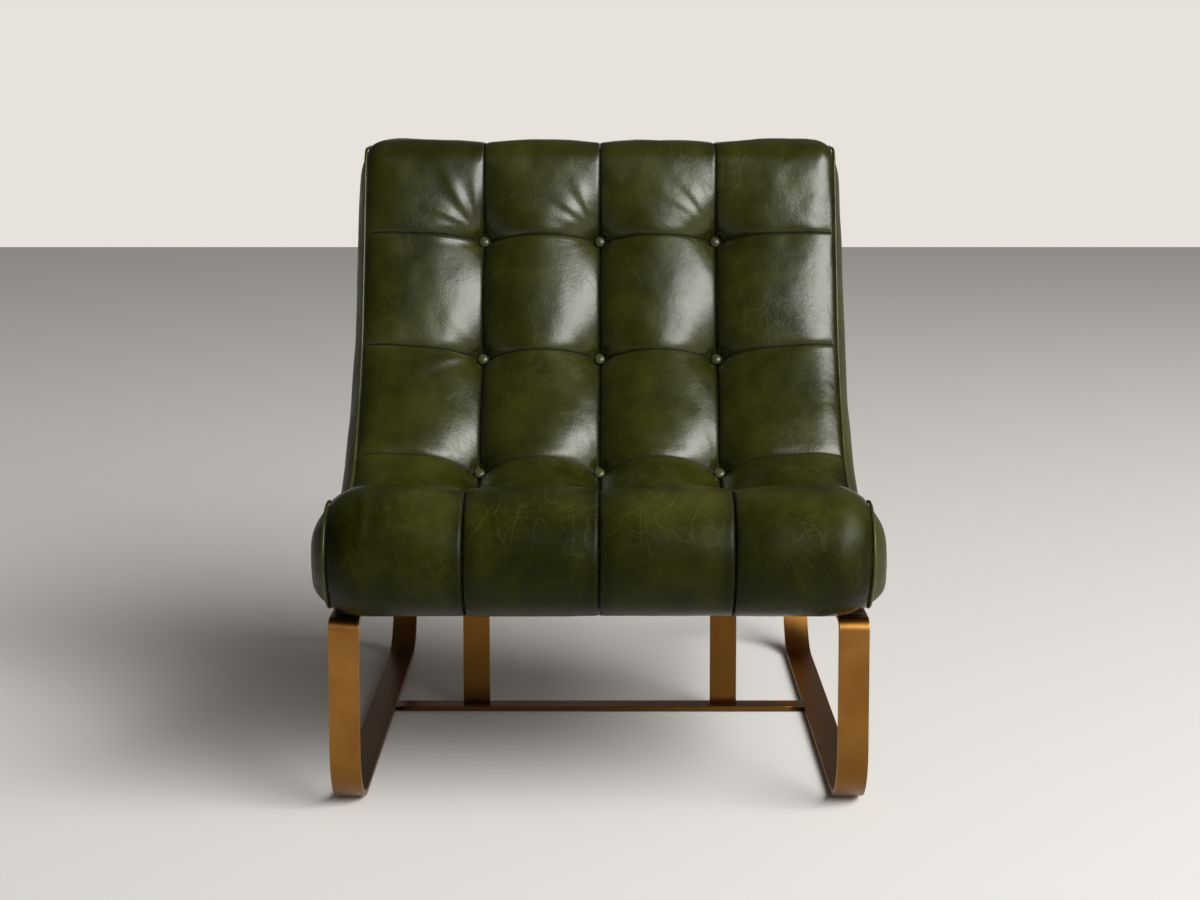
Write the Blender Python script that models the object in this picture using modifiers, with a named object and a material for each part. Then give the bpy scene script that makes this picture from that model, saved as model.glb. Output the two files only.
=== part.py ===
"""Armless scoop lounge chair: tufted leather columns over a wooden body, on two hoops of flat bar.

Lengths are metres. X runs across the chair, -Y is its front and Z is up. Depths are written from
the front face of the front legs, and one empty moves the whole chair to the middle of its box.
"""
import math

import bmesh
import bpy
import numpy as np

# Clearances and sheet thicknesses
FIT = 0.0004
LEATHER = 0.0016
CLOTH = 0.0010
HOLE_CLEARANCE = 0.0004
WELD_DISTANCE = 0.00004

# Base of flat bar
BAR_WIDTH = 0.0381
BAR_THICKNESS = 0.00635
HOOP_INSET = 0.0211
HOOP_DEPTH = 0.8065
HOOP_FOOT_RADIUS = 0.082
HOOP_TOP_RADIUS = 0.028
HOOP_ARC_STEPS = 7
CROSSBAR_WIDTH = 0.032
CROSSBAR_FRONT = 0.4375
UPRIGHT_INSET = 0.1554
UPRIGHT_RADIUS = 0.010
UPRIGHT_FLANGE = 0.040
UPRIGHT_ARC_STEPS = 4
GLIDE_RADIUS = 0.009
GLIDE_HEIGHT = 0.002
GLIDE_SIDES = 14
SPACER_THICKNESS = 0.0025
SPACER_WIDTH = 0.030
SPACER_LENGTH = 0.330

# Side view of the body: the crown line that the fullest part of each column touches
UNDERSIDE = 0.2515
HEIGHT = 0.824
ROLL_OVERHANG = 0.055
ROLL_TUCK = 0.075
ROLL_CORNER_HEIGHT = 0.4545
ROLL_LOW_RADIUS = 0.069
ROLL_TOP_RADIUS = 0.085
DIP_DEPTH = 0.233
DIP_HEIGHT = 0.330
DIP_RADIUS = 0.170
KNEE_DEPTH = 0.4063
KNEE_HEIGHT = 0.5226
KNEE_RADIUS = 0.450
TOP_FRONT_DEPTH = 0.526
TOP_FRONT_RADIUS = 0.045
TOP_REAR_DEPTH = 0.665
TOP_REAR_RADIUS = 0.050
HEEL_DEPTH = 0.515
HEEL_RADIUS = 0.090
COLUMN_TAIL = 0.075

# Width of the body, which tapers from the top of the back down to the seat
BODY_WIDTH = 0.711
SWELL_AT_TOP = 0.0165
SWELL_AT_UNDERSIDE = 0.0243
BULGE_POWER = 2.0
BULGE_REACH_LOW = 0.025
BULGE_REACH_HIGH = 0.070
FRAME_INSET = 0.008
SEAM_SHARES = (-1.0, -0.4975, 0.0, 0.4975, 1.0)

# Tufting
ROW_COUNT = 4
FIRST_ROW_FROM_TOP = 0.109
ROW_PITCH = 0.171
BUTTON_SINK = 0.049
BUTTON_RADIUS = 0.0073
BUTTON_HEIGHT = 0.0060
BUTTON_EDGE = 0.0015
BUTTON_SEAT = 0.0088
BUTTON_SIDES = 12
BUTTON_DOME_STEPS = 3
CREASE_DEPTH = 0.0055
CREASE_EDGE_DEPTH = 0.0030
ROLL_CHANNEL = 0.0075
BACK_CHANNEL = 0.0210
TOP_CHANNEL = 0.0040
EDGE_LIFT = 0.0090
EDGE_DROP_ROLL = 0.0200
EDGE_DROP_BACK = 0.0125
EDGE_DROP_REAR = 0.0075
EDGE_RAMP = 0.055
EDGE_ROUNDING = 0.045
EDGE_POWER = 2.0
CHANNEL_POWER = 2.2
BUTTON_POWER = 2.0
PILLOW_POWER = 2.4
WELT_RADIUS = 0.0021

# Samples of the tufted surface: steps along each stretch, and shares of half a column across it
ROLL_STEPS = 12
SEAT_STEPS = 3
TOP_STEPS = 2
CREST_STEPS = 8
PILLOW_SHARES = (0.25, 0.5, 0.75)
ACROSS_SHARES = (-1.0, -0.9, -0.5, 0.0, 0.5, 0.9, 1.0)
EDGE_SHARE = 0.7
FOAM_SKIP_COUNT = 3
BOXING_SHARES = (0.0, 0.04, 0.10, 0.18, 0.5, 0.82, 0.94, 1.0)
PAIR_FACE_SHARES = (0.0, 0.13, 0.26, 0.36, 0.50, 0.64, 0.84, 1.0)
PAIR_REAR_SHARES = (0.0, 0.03, 0.08, 0.17, 0.34, 0.58, 0.86, 1.0)
PAIR_START = 0.030
PAIR_END = 0.015

# Folds in the upholstery sharper than this many degrees are shaded as edges
SHARP_FOLD_ANGLE = 50

# Foam
FOAM = 0.064
TOP_FOAM = 0.034
TAIL_FOAM = 0.008
FOAM_LIP = 0.0025

# Wooden frame
PLYWOOD = 0.018
BASE_RAIL_FRONT = 0.395
BASE_RAIL_WIDTH = 0.048
BASE_RAIL_HEIGHT = 0.030
LUMBAR_RAIL = 0.020
LUMBAR_RAIL_LENGTH = 0.060
TOP_RAIL_DROP = 0.030
HEEL_STEPS = 6

# Suspension
FELT = 0.0040
FELT_INSET = 0.009
SPRING_COUNT = 4
SPRING_INSET = 0.094
SPRING_WIDTH = 0.046
SPRING_WIRE = 0.0036
SPRING_BEND_COUNT = 9
SPRING_BEND_STEPS = 3
STRAP_COUNT = 4
STRAP_WIDTH = 0.050
STRAP_THICKNESS = 0.0020

# Fasteners
BOLT_RADIUS = 0.0030
BOLT_HEAD_RADIUS = 0.0055
BOLT_HEAD_HEIGHT = 0.0030
BOLT_LENGTH = 0.034
BOLT_SIDES = 12
BOLT_DEPTHS = (0.105, 0.370)
SCREW_LENGTH = 0.030
SCREW_SETBACK = 0.022
BLIND_HOLE_EXTRA = 0.0010
CUT_OVERRUN = 0.0020

# Widths, heights and depths that follow from the sizes above
WIDTH_AT_TOP = BODY_WIDTH - 2 * SWELL_AT_TOP
WIDTH_AT_UNDERSIDE = BODY_WIDTH - 2 * SWELL_AT_UNDERSIDE
HOOP_SPREAD = BODY_WIDTH - 2 * HOOP_INSET
UPRIGHT_SPACING = HOOP_SPREAD - 2 * UPRIGHT_INSET
SHEET_TOP = UNDERSIDE + LEATHER
FRAME_BOTTOM = SHEET_TOP + FIT
HOOP_TOP = UNDERSIDE - SPACER_THICKNESS - 2 * FIT
FRAME_HALF = WIDTH_AT_UNDERSIDE / 2 - FRAME_INSET
FRAME_INNER = FRAME_HALF - PLYWOOD
COLUMN_HALF = (SEAM_SHARES[-1] - SEAM_SHARES[-2]) * WIDTH_AT_TOP / 4
FELT_HALF = FRAME_INNER - FELT_INSET
SPRING_SPACING = 2 * (FRAME_INNER - SPRING_INSET) / (SPRING_COUNT - 1)
BAR_MIDDLE = (HOOP_SPREAD - BAR_WIDTH) / 2
BOLT_X = FRAME_HALF - PLYWOOD / 2
CENTRE_DEPTH = (HOOP_DEPTH - ROLL_OVERHANG) / 2

for old in list(bpy.data.objects):
    bpy.data.objects.remove(old, do_unlink=True)
chair = bpy.data.collections.new("lounge_chair")
cutters = bpy.data.collections.new("cutters")
bpy.context.scene.collection.children.link(chair)
bpy.context.scene.collection.children.link(cutters)
placement = bpy.data.objects.new("placement", None)
placement.location.y = -CENTRE_DEPTH
chair.objects.link(placement)


class Path:
    """Straight runs joined by tangent arcs in the side view, read by length from the first corner."""

    def __init__(self, corners, radii):
        corners = [np.array(corner, float) for corner in corners]
        self.pieces = []
        self.arc_spans = []
        self.length = 0.0
        start = corners[0]
        for corner, after, radius in zip(corners[1:], corners[2:], radii):
            run_in = corner - start
            run_out = after - corner
            heading = math.atan2(run_in[1], run_in[0])
            turn = math.atan2(run_in[0] * run_out[1] - run_in[1] * run_out[0], run_in @ run_out)
            cut = radius * math.tan(abs(turn) / 2)
            straight = math.hypot(*run_in) - cut
            self.add(start, heading, straight, 0.0)
            first = self.length
            self.add(start + run_in / math.hypot(*run_in) * straight, heading, radius * abs(turn),
                     math.copysign(1 / radius, turn))
            self.arc_spans.append((first, self.length))
            start = corner + run_out / math.hypot(*run_out) * cut
        run = corners[-1] - start
        self.add(start, math.atan2(run[1], run[0]), math.hypot(*run), 0.0)

    def add(self, start, heading, length, bend):
        self.pieces.append((start, heading, length, bend))
        self.length += length

    def at(self, s):
        """Return the point at length s and the unit normal to the right of travel."""
        for start, heading, length, bend in self.pieces[:-1]:
            if s <= length:
                break
            s -= length
        else:
            start, heading, length, bend = self.pieces[-1]
        turned = heading + bend * s
        if bend:
            move = (math.sin(turned) - math.sin(heading), math.cos(heading) - math.cos(turned))
            move = np.array(move) / bend
        else:
            move = s * np.array((math.cos(heading), math.sin(heading)))
        return start + move, np.array((math.sin(turned), -math.cos(turned)))


# The rear line runs from the heel, low at the back, up to the rear corner of the top
heel = np.array((HEEL_DEPTH, UNDERSIDE))
top_rear = np.array((TOP_REAR_DEPTH, HEIGHT))
rear_run = (heel - top_rear) / math.hypot(*(heel - top_rear))
column_end = top_rear + rear_run * COLUMN_TAIL

crown_line = Path(
    [(ROLL_TUCK, UNDERSIDE), (-ROLL_OVERHANG, UNDERSIDE), (-ROLL_OVERHANG, ROLL_CORNER_HEIGHT),
     (DIP_DEPTH, DIP_HEIGHT), (KNEE_DEPTH, KNEE_HEIGHT), (TOP_FRONT_DEPTH, HEIGHT), top_rear, column_end],
    [ROLL_LOW_RADIUS, ROLL_TOP_RADIUS, DIP_RADIUS, KNEE_RADIUS, TOP_FRONT_RADIUS, TOP_REAR_RADIUS])

roll_start = crown_line.arc_spans[0][0]
roll_end = crown_line.arc_spans[1][1]
crest_start = crown_line.arc_spans[4][0]
crest_end = crown_line.arc_spans[5][1]
face_end = crown_line.length
rear_line = Path([crown_line.at(crest_end)[0], heel, (PAIR_START, UNDERSIDE)], [HEEL_RADIUS])
tail = face_end - crest_end
rows = [crest_start - FIRST_ROW_FROM_TOP - ROW_PITCH * index for index in range(ROW_COUNT)][::-1]


def stretch(first, last, steps):
    return [first + (last - first) * index / steps for index in range(steps)]


def face_stations():
    """Lengths along the crown line at which the tufted surface is sampled."""
    stations = [0.0]
    stations += stretch(roll_start, roll_end, ROLL_STEPS)
    stations += stretch(roll_end, rows[0] - BUTTON_SEAT, SEAT_STEPS)
    for row in rows:
        stations += [row - BUTTON_SEAT, row, row + BUTTON_SEAT]
    for row, after in zip(rows, rows[1:]):
        stations += [row + (after - row) * share for share in PILLOW_SHARES]
    stations += stretch(rows[-1] + BUTTON_SEAT, crest_start, TOP_STEPS)[1:]
    stations += stretch(crest_start, crest_end, CREST_STEPS)
    stations += [crest_end, face_end]
    return sorted(stations)


stations = face_stations()
foam_stations = stations[FOAM_SKIP_COUNT:]
heel_span = rear_line.arc_spans[0]
rear_stations = [0.0] + stretch(*heel_span, HEEL_STEPS) + [heel_span[1], rear_line.length]


def half_width(height):
    share = (height - UNDERSIDE) / (HEIGHT - UNDERSIDE)
    return (WIDTH_AT_UNDERSIDE + (WIDTH_AT_TOP - WIDTH_AT_UNDERSIDE) * share) / 2


def channel_depth(s):
    """Depth of a sewn channel between two columns, away from its buttons."""
    places = [roll_start, roll_end, rows[0], rows[-1], crest_start, crest_end, face_end]
    depths = [0.0, ROLL_CHANNEL, BACK_CHANNEL, BACK_CHANNEL, TOP_CHANNEL, TOP_CHANNEL, 0.0]
    return float(np.interp(s, places, depths))


def edge_depth(s):
    """Depth of the face below the crown line along its outer edges, away from the cross creases."""
    places = [0.0, roll_start, roll_start + EDGE_RAMP, roll_end, rows[1], crest_start, crest_end, face_end]
    depths = [0.0, EDGE_LIFT, EDGE_DROP_ROLL, EDGE_DROP_ROLL]
    depths += [EDGE_DROP_BACK, EDGE_DROP_BACK, EDGE_DROP_REAR, 0.0]
    return float(np.interp(s, places, depths))


def edge_share(inset):
    """Share of the edge's depth that is left at a distance in from the edge."""
    return max(0.0, 1 - inset / EDGE_ROUNDING) ** EDGE_POWER


def sink(s, across, at_seam):
    """Depth of the leather below the crown line, at a share across from a column's middle to its side."""
    distance = min(abs(s - row) for row in rows)
    if at_seam and distance <= BUTTON_SEAT * (1 + FIT) and abs(across) >= ACROSS_SHARES[-2]:
        return BUTTON_SINK
    near_row = max(0.0, 1 - 2 * distance / ROW_PITCH) ** PILLOW_POWER
    if not at_seam:
        crease = CREASE_DEPTH + (CREASE_EDGE_DEPTH - CREASE_DEPTH) * abs(across)
        return edge_depth(s) * edge_share((1 - abs(across)) * COLUMN_HALF) + crease * near_row
    between = channel_depth(s) * abs(across) ** CHANNEL_POWER
    at_row = CREASE_DEPTH + (BUTTON_SINK - CREASE_DEPTH) * abs(across) ** BUTTON_POWER
    return between + (at_row - between) * near_row


def column_samples(column, height):
    """Places across one column at a height, as pairs of X and share, with the frame's side among them."""
    left, right = (share * half_width(height) for share in SEAM_SHARES[column:column + 2])
    middle = (left + right) / 2
    half = (right - left) / 2
    samples = [(middle + share * half, share) for share in ACROSS_SHARES]
    samples[0] = (left + FIT / 2, -1.0)
    samples[-1] = (right - FIT / 2, 1.0)
    if column == 0:
        samples[:2] = [(left, -1.0), (-FRAME_HALF, (-FRAME_HALF - middle) / half),
                       (middle - EDGE_SHARE * half, -EDGE_SHARE)]
    elif column == len(SEAM_SHARES) - 2:
        samples[-2:] = [(middle + EDGE_SHARE * half, EDGE_SHARE),
                        (FRAME_HALF, (FRAME_HALF - middle) / half), (right, 1.0)]
    return samples


def borders_seam(column, across):
    """Tell whether the side that a share leans to is a seam, and not an outer edge of the face."""
    return not (column == 0 and across < 0 or column == len(SEAM_SHARES) - 2 and across > 0)


def face_row(s, column, under=0.0):
    """Points across one column at length s, a distance under its outer surface."""
    place, normal = crown_line.at(s)
    points = []
    for x, across in column_samples(column, place[1]):
        y, z = place + normal * (sink(s, across, borders_seam(column, across)) + under)
        points.append((x, y, z))
    return points


def front_corner():
    """Lowest front corner of the frame, lifted as the leather is at the frame's side."""
    return ROLL_LOW_RADIUS - ROLL_OVERHANG + FIT, FRAME_BOTTOM + EDGE_LIFT * edge_share(FRAME_INSET)


def frame_underside(depth):
    """Height of the frame's lower edge at a depth, which rises under the roll to the front corner."""
    corner = front_corner()
    return float(np.interp(depth, [corner[0], ROLL_TUCK], [corner[1], FRAME_BOTTOM]))


def foam_back(s):
    """Point at the back of the foam behind length s of the crown line."""
    place, normal = crown_line.at(s)
    low_end = crown_line.arc_spans[0][1]
    if s < low_end:
        first = foam_stations[0]
        lowest = front_corner()[1] + FOAM_LIP
        height = lowest + (UNDERSIDE + ROLL_LOW_RADIUS - lowest) * (s - first) / (low_end - first)
        return np.array((FOAM - ROLL_OVERHANG, height)), np.array((1.0, 0.0))
    depth = np.interp(s, [rows[-1], crest_start, crest_end, face_end], [FOAM, TOP_FOAM, TOP_FOAM, TAIL_FOAM])
    return place + normal * depth, normal


def between_stations(line, spots, s, distance):
    """Point a distance inside a line that runs straight from each of its stations to the next."""
    after = min(max(int(np.searchsorted(spots, s)), 1), len(spots) - 1)
    ends = spots[after - 1:after + 1]
    first, last = (place + normal * distance for place, normal in map(line, ends))
    return first + (last - first) * (s - ends[0]) / (ends[1] - ends[0])


def behind_foam(s, distance):
    """Point a distance behind the foam, level with length s of the crown line."""
    return between_stations(foam_back, foam_stations, s, distance)


def inside_rear(s, distance):
    """Point a distance inside the outer back at length s of the rear line."""
    return between_stations(rear_line.at, rear_stations, s, distance)


def behind_foam_run(first, last, distance):
    """Points behind the foam between two lengths, with one at each of its own corners."""
    spots = [first] + [s for s in foam_stations if first < s < last] + [last]
    return [behind_foam(s, distance) for s in spots]


def material(name, colour, roughness, metallic=0.0):
    made = bpy.data.materials.new(name)
    made.use_nodes = True
    shader = made.node_tree.nodes["Principled BSDF"]
    shader.inputs["Base Color"].default_value = (*colour, 1.0)
    shader.inputs["Roughness"].default_value = roughness
    shader.inputs["Metallic"].default_value = metallic
    return made


def place_object(name, data, surface, collection=chair):
    """Link an object to its collection under the placement empty, with its own material."""
    made = bpy.data.objects.new(name, data)
    collection.objects.link(made)
    made.parent = placement
    if surface:
        data.materials.append(surface)
    return made


def mesh_object(name, shape, surface, collection=chair):
    data = bpy.data.meshes.new(name)
    bmesh.ops.recalc_face_normals(shape, faces=shape.faces)
    shape.to_mesh(data)
    shape.free()
    return place_object(name, data, surface, collection)


def loft(name, outer, inner, surface, smooth=True):
    """Close the space between two grids of points that share their rows.

    The inner grid has as many columns as the outer one, or only two for a plain flat face.
    """
    shape = bmesh.new()
    top = [[shape.verts.new(point) for point in row] for row in outer]
    low = [[shape.verts.new(point) for point in row] for row in inner]
    for grid in (top, low):
        for row, after in zip(grid, grid[1:]):
            for index in range(len(row) - 1):
                a, b, c, d = row[index], row[index + 1], after[index + 1], after[index]
                if a.co.x + b.co.x < 0:
                    shape.faces.new((a, b, c))
                    shape.faces.new((a, c, d))
                else:
                    shape.faces.new((a, b, d))
                    shape.faces.new((b, c, d))
    for side in (0, -1):
        for index in range(len(top) - 1):
            shape.faces.new((top[index][side], top[index + 1][side], low[index + 1][side], low[index][side]))
    for end in (0, -1):
        if len(top[end]) == len(low[end]):
            for index in range(len(top[end]) - 1):
                shape.faces.new((top[end][index], top[end][index + 1], low[end][index + 1], low[end][index]))
        else:
            shape.faces.new(top[end] + low[end][::-1])
    made = mesh_object(name, shape, surface)
    if smooth:
        made.data.shade_smooth()
        made.data.set_sharp_from_angle(angle=math.radians(SHARP_FOLD_ANGLE))
    return made


def flat_curve(name, outlines, width, surface, middle=0.0):
    """A plate cut to side-view outlines and as thick across the chair as width says."""
    data = bpy.data.curves.new(name, "CURVE")
    data.dimensions = "2D"
    data.fill_mode = "BOTH"
    data.extrude = width / 2
    for outline in outlines:
        spline = data.splines.new("POLY")
        spline.points.add(len(outline) - 1)
        for point, (y, z) in zip(spline.points, outline):
            point.co = (y, z, 0.0, 1.0)
        spline.use_cyclic_u = True
    made = place_object(name, data, surface)
    made.rotation_euler = (math.pi / 2, 0.0, math.pi / 2)
    made.location.x = middle
    return made


def as_mesh(curve):
    """Replace a curve object by a mesh object of its shape, with its caps welded on."""
    bpy.context.view_layer.update()
    seen = curve.evaluated_get(bpy.context.evaluated_depsgraph_get())
    data = bpy.data.meshes.new_from_object(seen)
    shape = bmesh.new()
    shape.from_mesh(data)
    bmesh.ops.remove_doubles(shape, verts=shape.verts, dist=WELD_DISTANCE)
    bmesh.ops.recalc_face_normals(shape, faces=shape.faces)
    shape.to_mesh(data)
    shape.free()
    name, matrix = curve.name, curve.matrix_world.copy()
    bpy.data.objects.remove(curve, do_unlink=True)
    made = bpy.data.objects.new(name, data)
    chair.objects.link(made)
    made.parent = placement
    made.matrix_world = matrix
    return made


def tube(name, points, radius, surface):
    """A round wire or cord through points, with filled ends."""
    data = bpy.data.curves.new(name, "CURVE")
    data.dimensions = "3D"
    data.bevel_depth = radius
    data.bevel_resolution = 1
    data.use_fill_caps = True
    spline = data.splines.new("POLY")
    spline.points.add(len(points) - 1)
    for point, place in zip(spline.points, points):
        point.co = (*place, 1.0)
    return place_object(name, data, surface)


def block(name, low, high, surface):
    """A straight-sided block between two opposite corners."""
    shape = bmesh.new()
    bmesh.ops.create_cube(shape, size=1.0)
    size = [b - a for a, b in zip(low, high)]
    middle = [(a + b) / 2 for a, b in zip(low, high)]
    bmesh.ops.scale(shape, vec=size, verts=shape.verts)
    bmesh.ops.translate(shape, vec=middle, verts=shape.verts)
    return mesh_object(name, shape, surface)


def turned(name, profile, sides, surface):
    """A round piece from a profile that runs down its outer side, from the axis back to the axis."""
    data = bpy.data.meshes.new(name)
    data.from_pydata([(radius, 0.0, height) for radius, height in profile],
                     [(index, index + 1) for index in range(len(profile) - 1)], [])
    made = place_object(name, data, surface)
    screw = made.modifiers.new("turn", "SCREW")
    screw.steps = sides
    screw.render_steps = sides
    screw.use_merge_vertices = True
    screw.merge_threshold = WELD_DISTANCE
    screw.use_smooth_shade = True
    return made


def drill(piece, x, y, low, high, radius):
    """Cut an upright round hole through or into a piece."""
    shape = bmesh.new()
    bmesh.ops.create_cone(shape, cap_ends=True, segments=BOLT_SIDES, radius1=radius, radius2=radius,
                          depth=high - low)
    bmesh.ops.translate(shape, vec=(x, y, (low + high) / 2), verts=shape.verts)
    cutter = mesh_object(piece.name + "_cutter", shape, None, cutters)
    cutter.hide_render = True
    cutter.display_type = "WIRE"
    cut = piece.modifiers.new("hole", "BOOLEAN")
    cut.operation = "DIFFERENCE"
    cut.object = cutter


def sides():
    """The left and right of the chair, as a name and a sign for X."""
    return (("left", -1), ("right", 1))


brass = material("antique_brass", (0.45, 0.24, 0.09), 0.34, 1.0)
green_leather = material("green_leather", (0.036, 0.040, 0.012), 0.36)
back_leather = material("outer_back_leather", (0.032, 0.036, 0.011), 0.42)
side_leather = material("side_leather", (0.034, 0.038, 0.012), 0.38)
button_leather = material("button_leather", (0.034, 0.037, 0.012), 0.34)
welt_leather = material("welt_leather", (0.020, 0.023, 0.008), 0.40)
seat_foam_white = material("seat_foam_cream", (0.72, 0.66, 0.45), 0.95)
back_foam_white = material("back_foam_cream", (0.76, 0.70, 0.50), 0.95)
wadding = material("polyester_wadding", (0.80, 0.80, 0.78), 0.95)
plywood = material("birch_plywood", (0.52, 0.36, 0.20), 0.65)
beech = material("beech_rail", (0.50, 0.31, 0.16), 0.60)
felt_grey = material("felt_pad", (0.16, 0.15, 0.14), 0.95)
spring_steel = material("spring_steel", (0.30, 0.30, 0.31), 0.45, 1.0)
strap_web = material("jute_strap", (0.42, 0.30, 0.15), 0.90)
black_cloth = material("dust_cover_cloth", (0.012, 0.012, 0.012), 0.90)
black_rubber = material("black_spacer", (0.010, 0.010, 0.010), 0.70)
pale_nylon = material("pale_glide", (0.62, 0.58, 0.48), 0.55)
zinc_steel = material("zinc_fastener", (0.46, 0.46, 0.47), 0.40, 1.0)


def hoop_outline(inset):
    """Rounded side-view outline of a hoop, a distance inside its outer face."""
    low, high = GLIDE_HEIGHT + inset, HOOP_TOP - inset
    front, back = inset, HOOP_DEPTH - inset
    outline = []
    for turn, (y, z, radius) in enumerate([
            (front, low, HOOP_FOOT_RADIUS), (back, low, HOOP_FOOT_RADIUS),
            (back, high, HOOP_TOP_RADIUS), (front, high, HOOP_TOP_RADIUS)]):
        radius -= inset
        middle_y = y + math.copysign(radius, CENTRE_DEPTH - y)
        middle_z = z + math.copysign(radius, UNDERSIDE / 2 - z)
        for step in range(HOOP_ARC_STEPS + 1):
            angle = math.pi + (turn + step / HOOP_ARC_STEPS) * math.pi / 2
            outline.append((middle_y + radius * math.cos(angle), middle_z + radius * math.sin(angle)))
    return outline


def make_hoops():
    for side, sign in sides():
        hoop = as_mesh(flat_curve("side_hoop_" + side, [hoop_outline(0.0), hoop_outline(BAR_THICKNESS)],
                                  BAR_WIDTH, brass, sign * BAR_MIDDLE))
        for depth in BOLT_DEPTHS:
            drill(hoop, sign * BOLT_X, depth, HOOP_TOP - BAR_THICKNESS - CUT_OVERRUN, HOOP_TOP + CUT_OVERRUN,
                  BOLT_RADIUS + HOLE_CLEARANCE)


def make_crossbar():
    half = HOOP_SPREAD / 2 - BAR_WIDTH - FIT
    block("floor_crossbar", (-half, CROSSBAR_FRONT, GLIDE_HEIGHT),
          (half, CROSSBAR_FRONT + CROSSBAR_WIDTH, GLIDE_HEIGHT + BAR_THICKNESS), brass)


def upright_back():
    """Depth of the uprights' rear face, with their thickness over the crossbar's middle."""
    return CROSSBAR_FRONT + (CROSSBAR_WIDTH + BAR_THICKNESS) / 2


def upright_outline():
    """Side view of an upright: a foot on the crossbar and a bent flange under the seat."""
    foot = GLIDE_HEIGHT + BAR_THICKNESS + FIT
    top = UNDERSIDE - FIT
    back = upright_back()
    front = back - BAR_THICKNESS
    tip = back - UPRIGHT_FLANGE
    inner = UPRIGHT_RADIUS - BAR_THICKNESS
    middle = (back - UPRIGHT_RADIUS, top - UPRIGHT_RADIUS)
    outline = [(front, foot), (back, foot)]
    for step in range(UPRIGHT_ARC_STEPS + 1):
        angle = math.pi / 2 * step / UPRIGHT_ARC_STEPS
        outline.append((middle[0] + UPRIGHT_RADIUS * math.cos(angle),
                        middle[1] + UPRIGHT_RADIUS * math.sin(angle)))
    outline += [(tip, top), (tip, top - BAR_THICKNESS)]
    for step in range(UPRIGHT_ARC_STEPS + 1):
        angle = math.pi / 2 * (1 - step / UPRIGHT_ARC_STEPS)
        outline.append((middle[0] + inner * math.cos(angle), middle[1] + inner * math.sin(angle)))
    return outline


def screw_depth():
    return upright_back() - SCREW_SETBACK


def make_uprights():
    for side, sign in sides():
        upright = as_mesh(flat_curve("upright_" + side, [upright_outline()], BAR_WIDTH, brass,
                                     sign * UPRIGHT_SPACING / 2))
        drill(upright, sign * UPRIGHT_SPACING / 2, screw_depth(), UNDERSIDE - BAR_THICKNESS - CUT_OVERRUN,
              UNDERSIDE + CUT_OVERRUN, BOLT_RADIUS + HOLE_CLEARANCE)


def make_glides():
    """A short round pad under each end of each runner's straight."""
    for side, sign in sides():
        for end, depth in (("front", HOOP_FOOT_RADIUS), ("rear", HOOP_DEPTH - HOOP_FOOT_RADIUS)):
            glide = turned("glide_" + side + "_" + end,
                           [(0.0, GLIDE_HEIGHT - FIT), (GLIDE_RADIUS, GLIDE_HEIGHT - FIT),
                            (GLIDE_RADIUS, 0.0), (0.0, 0.0)], GLIDE_SIDES, pale_nylon)
            glide.location.x = sign * BAR_MIDDLE
            glide.location.y = depth


def make_spacers():
    for side, sign in sides():
        near, far = sorted((sign * (BOLT_X - SPACER_WIDTH / 2), sign * (BOLT_X + SPACER_WIDTH / 2)))
        spacer = block("spacer_" + side, (near, HOOP_TOP_RADIUS, HOOP_TOP + FIT),
                       (far, HOOP_TOP_RADIUS + SPACER_LENGTH, UNDERSIDE - FIT), black_rubber)
        for depth in BOLT_DEPTHS:
            drill(spacer, sign * BOLT_X, depth, HOOP_TOP - CUT_OVERRUN, UNDERSIDE + CUT_OVERRUN,
                  BOLT_RADIUS + HOLE_CLEARANCE)


def fastener(name, x, y, seat, length):
    """A round-headed fastener whose head bears upwards at the height seat."""
    head_face = seat - FIT
    low = head_face - BOLT_HEAD_HEIGHT
    piece = turned(name, [
        (0.0, seat + length), (BOLT_RADIUS, seat + length), (BOLT_RADIUS, head_face),
        (BOLT_HEAD_RADIUS, head_face), (BOLT_HEAD_RADIUS, low + BOLT_HEAD_HEIGHT / 3),
        (BOLT_HEAD_RADIUS - BOLT_HEAD_HEIGHT / 3, low), (0.0, low)], BOLT_SIDES, zinc_steel)
    piece.location.x = x
    piece.location.y = y
    return piece


def make_fasteners():
    for side, sign in sides():
        for end, depth in zip(("front", "rear"), BOLT_DEPTHS):
            fastener("hoop_bolt_" + side + "_" + end, sign * BOLT_X, depth, HOOP_TOP - BAR_THICKNESS,
                     BOLT_LENGTH)
        fastener("upright_screw_" + side, sign * UPRIGHT_SPACING / 2, screw_depth(),
                 UNDERSIDE - FIT - BAR_THICKNESS, SCREW_LENGTH)


def frame_outline():
    """Side-view outline of a side frame, under the foam and inside the outer leather."""
    outline = behind_foam_run(foam_stations[0], face_end, FIT)
    outline += [inside_rear(s, LEATHER + FIT) for s in [tail + 3 * FIT] + rear_stations[1:-1]]
    outline += [(ROLL_TUCK, FRAME_BOTTOM), front_corner()]
    return outline


def make_side_frames():
    for side, sign in sides():
        frame = as_mesh(flat_curve("side_frame_" + side, [frame_outline()], PLYWOOD, plywood, sign * BOLT_X))
        for depth in BOLT_DEPTHS:
            drill(frame, sign * BOLT_X, depth, FRAME_BOTTOM - CUT_OVERRUN,
                  HOOP_TOP - BAR_THICKNESS + BOLT_LENGTH + BLIND_HOLE_EXTRA, BOLT_RADIUS + HOLE_CLEARANCE)


def rail_between(name, outline):
    """A rail of one section that runs between the two side frames."""
    return as_mesh(flat_curve(name, [outline], 2 * (FRAME_INNER - FIT), beech))


def roll_crest():
    """Length along the crown line at the top of the roll."""
    return crown_line.arc_spans[1][0] + ROLL_TOP_RADIUS * math.pi / 2


def make_front_rail():
    outline = behind_foam_run(foam_stations[0], roll_crest(), FIT)
    depth = outline[-1][0]
    outline += [(depth, frame_underside(depth)), front_corner()]
    rail_between("front_rail", outline)


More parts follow.
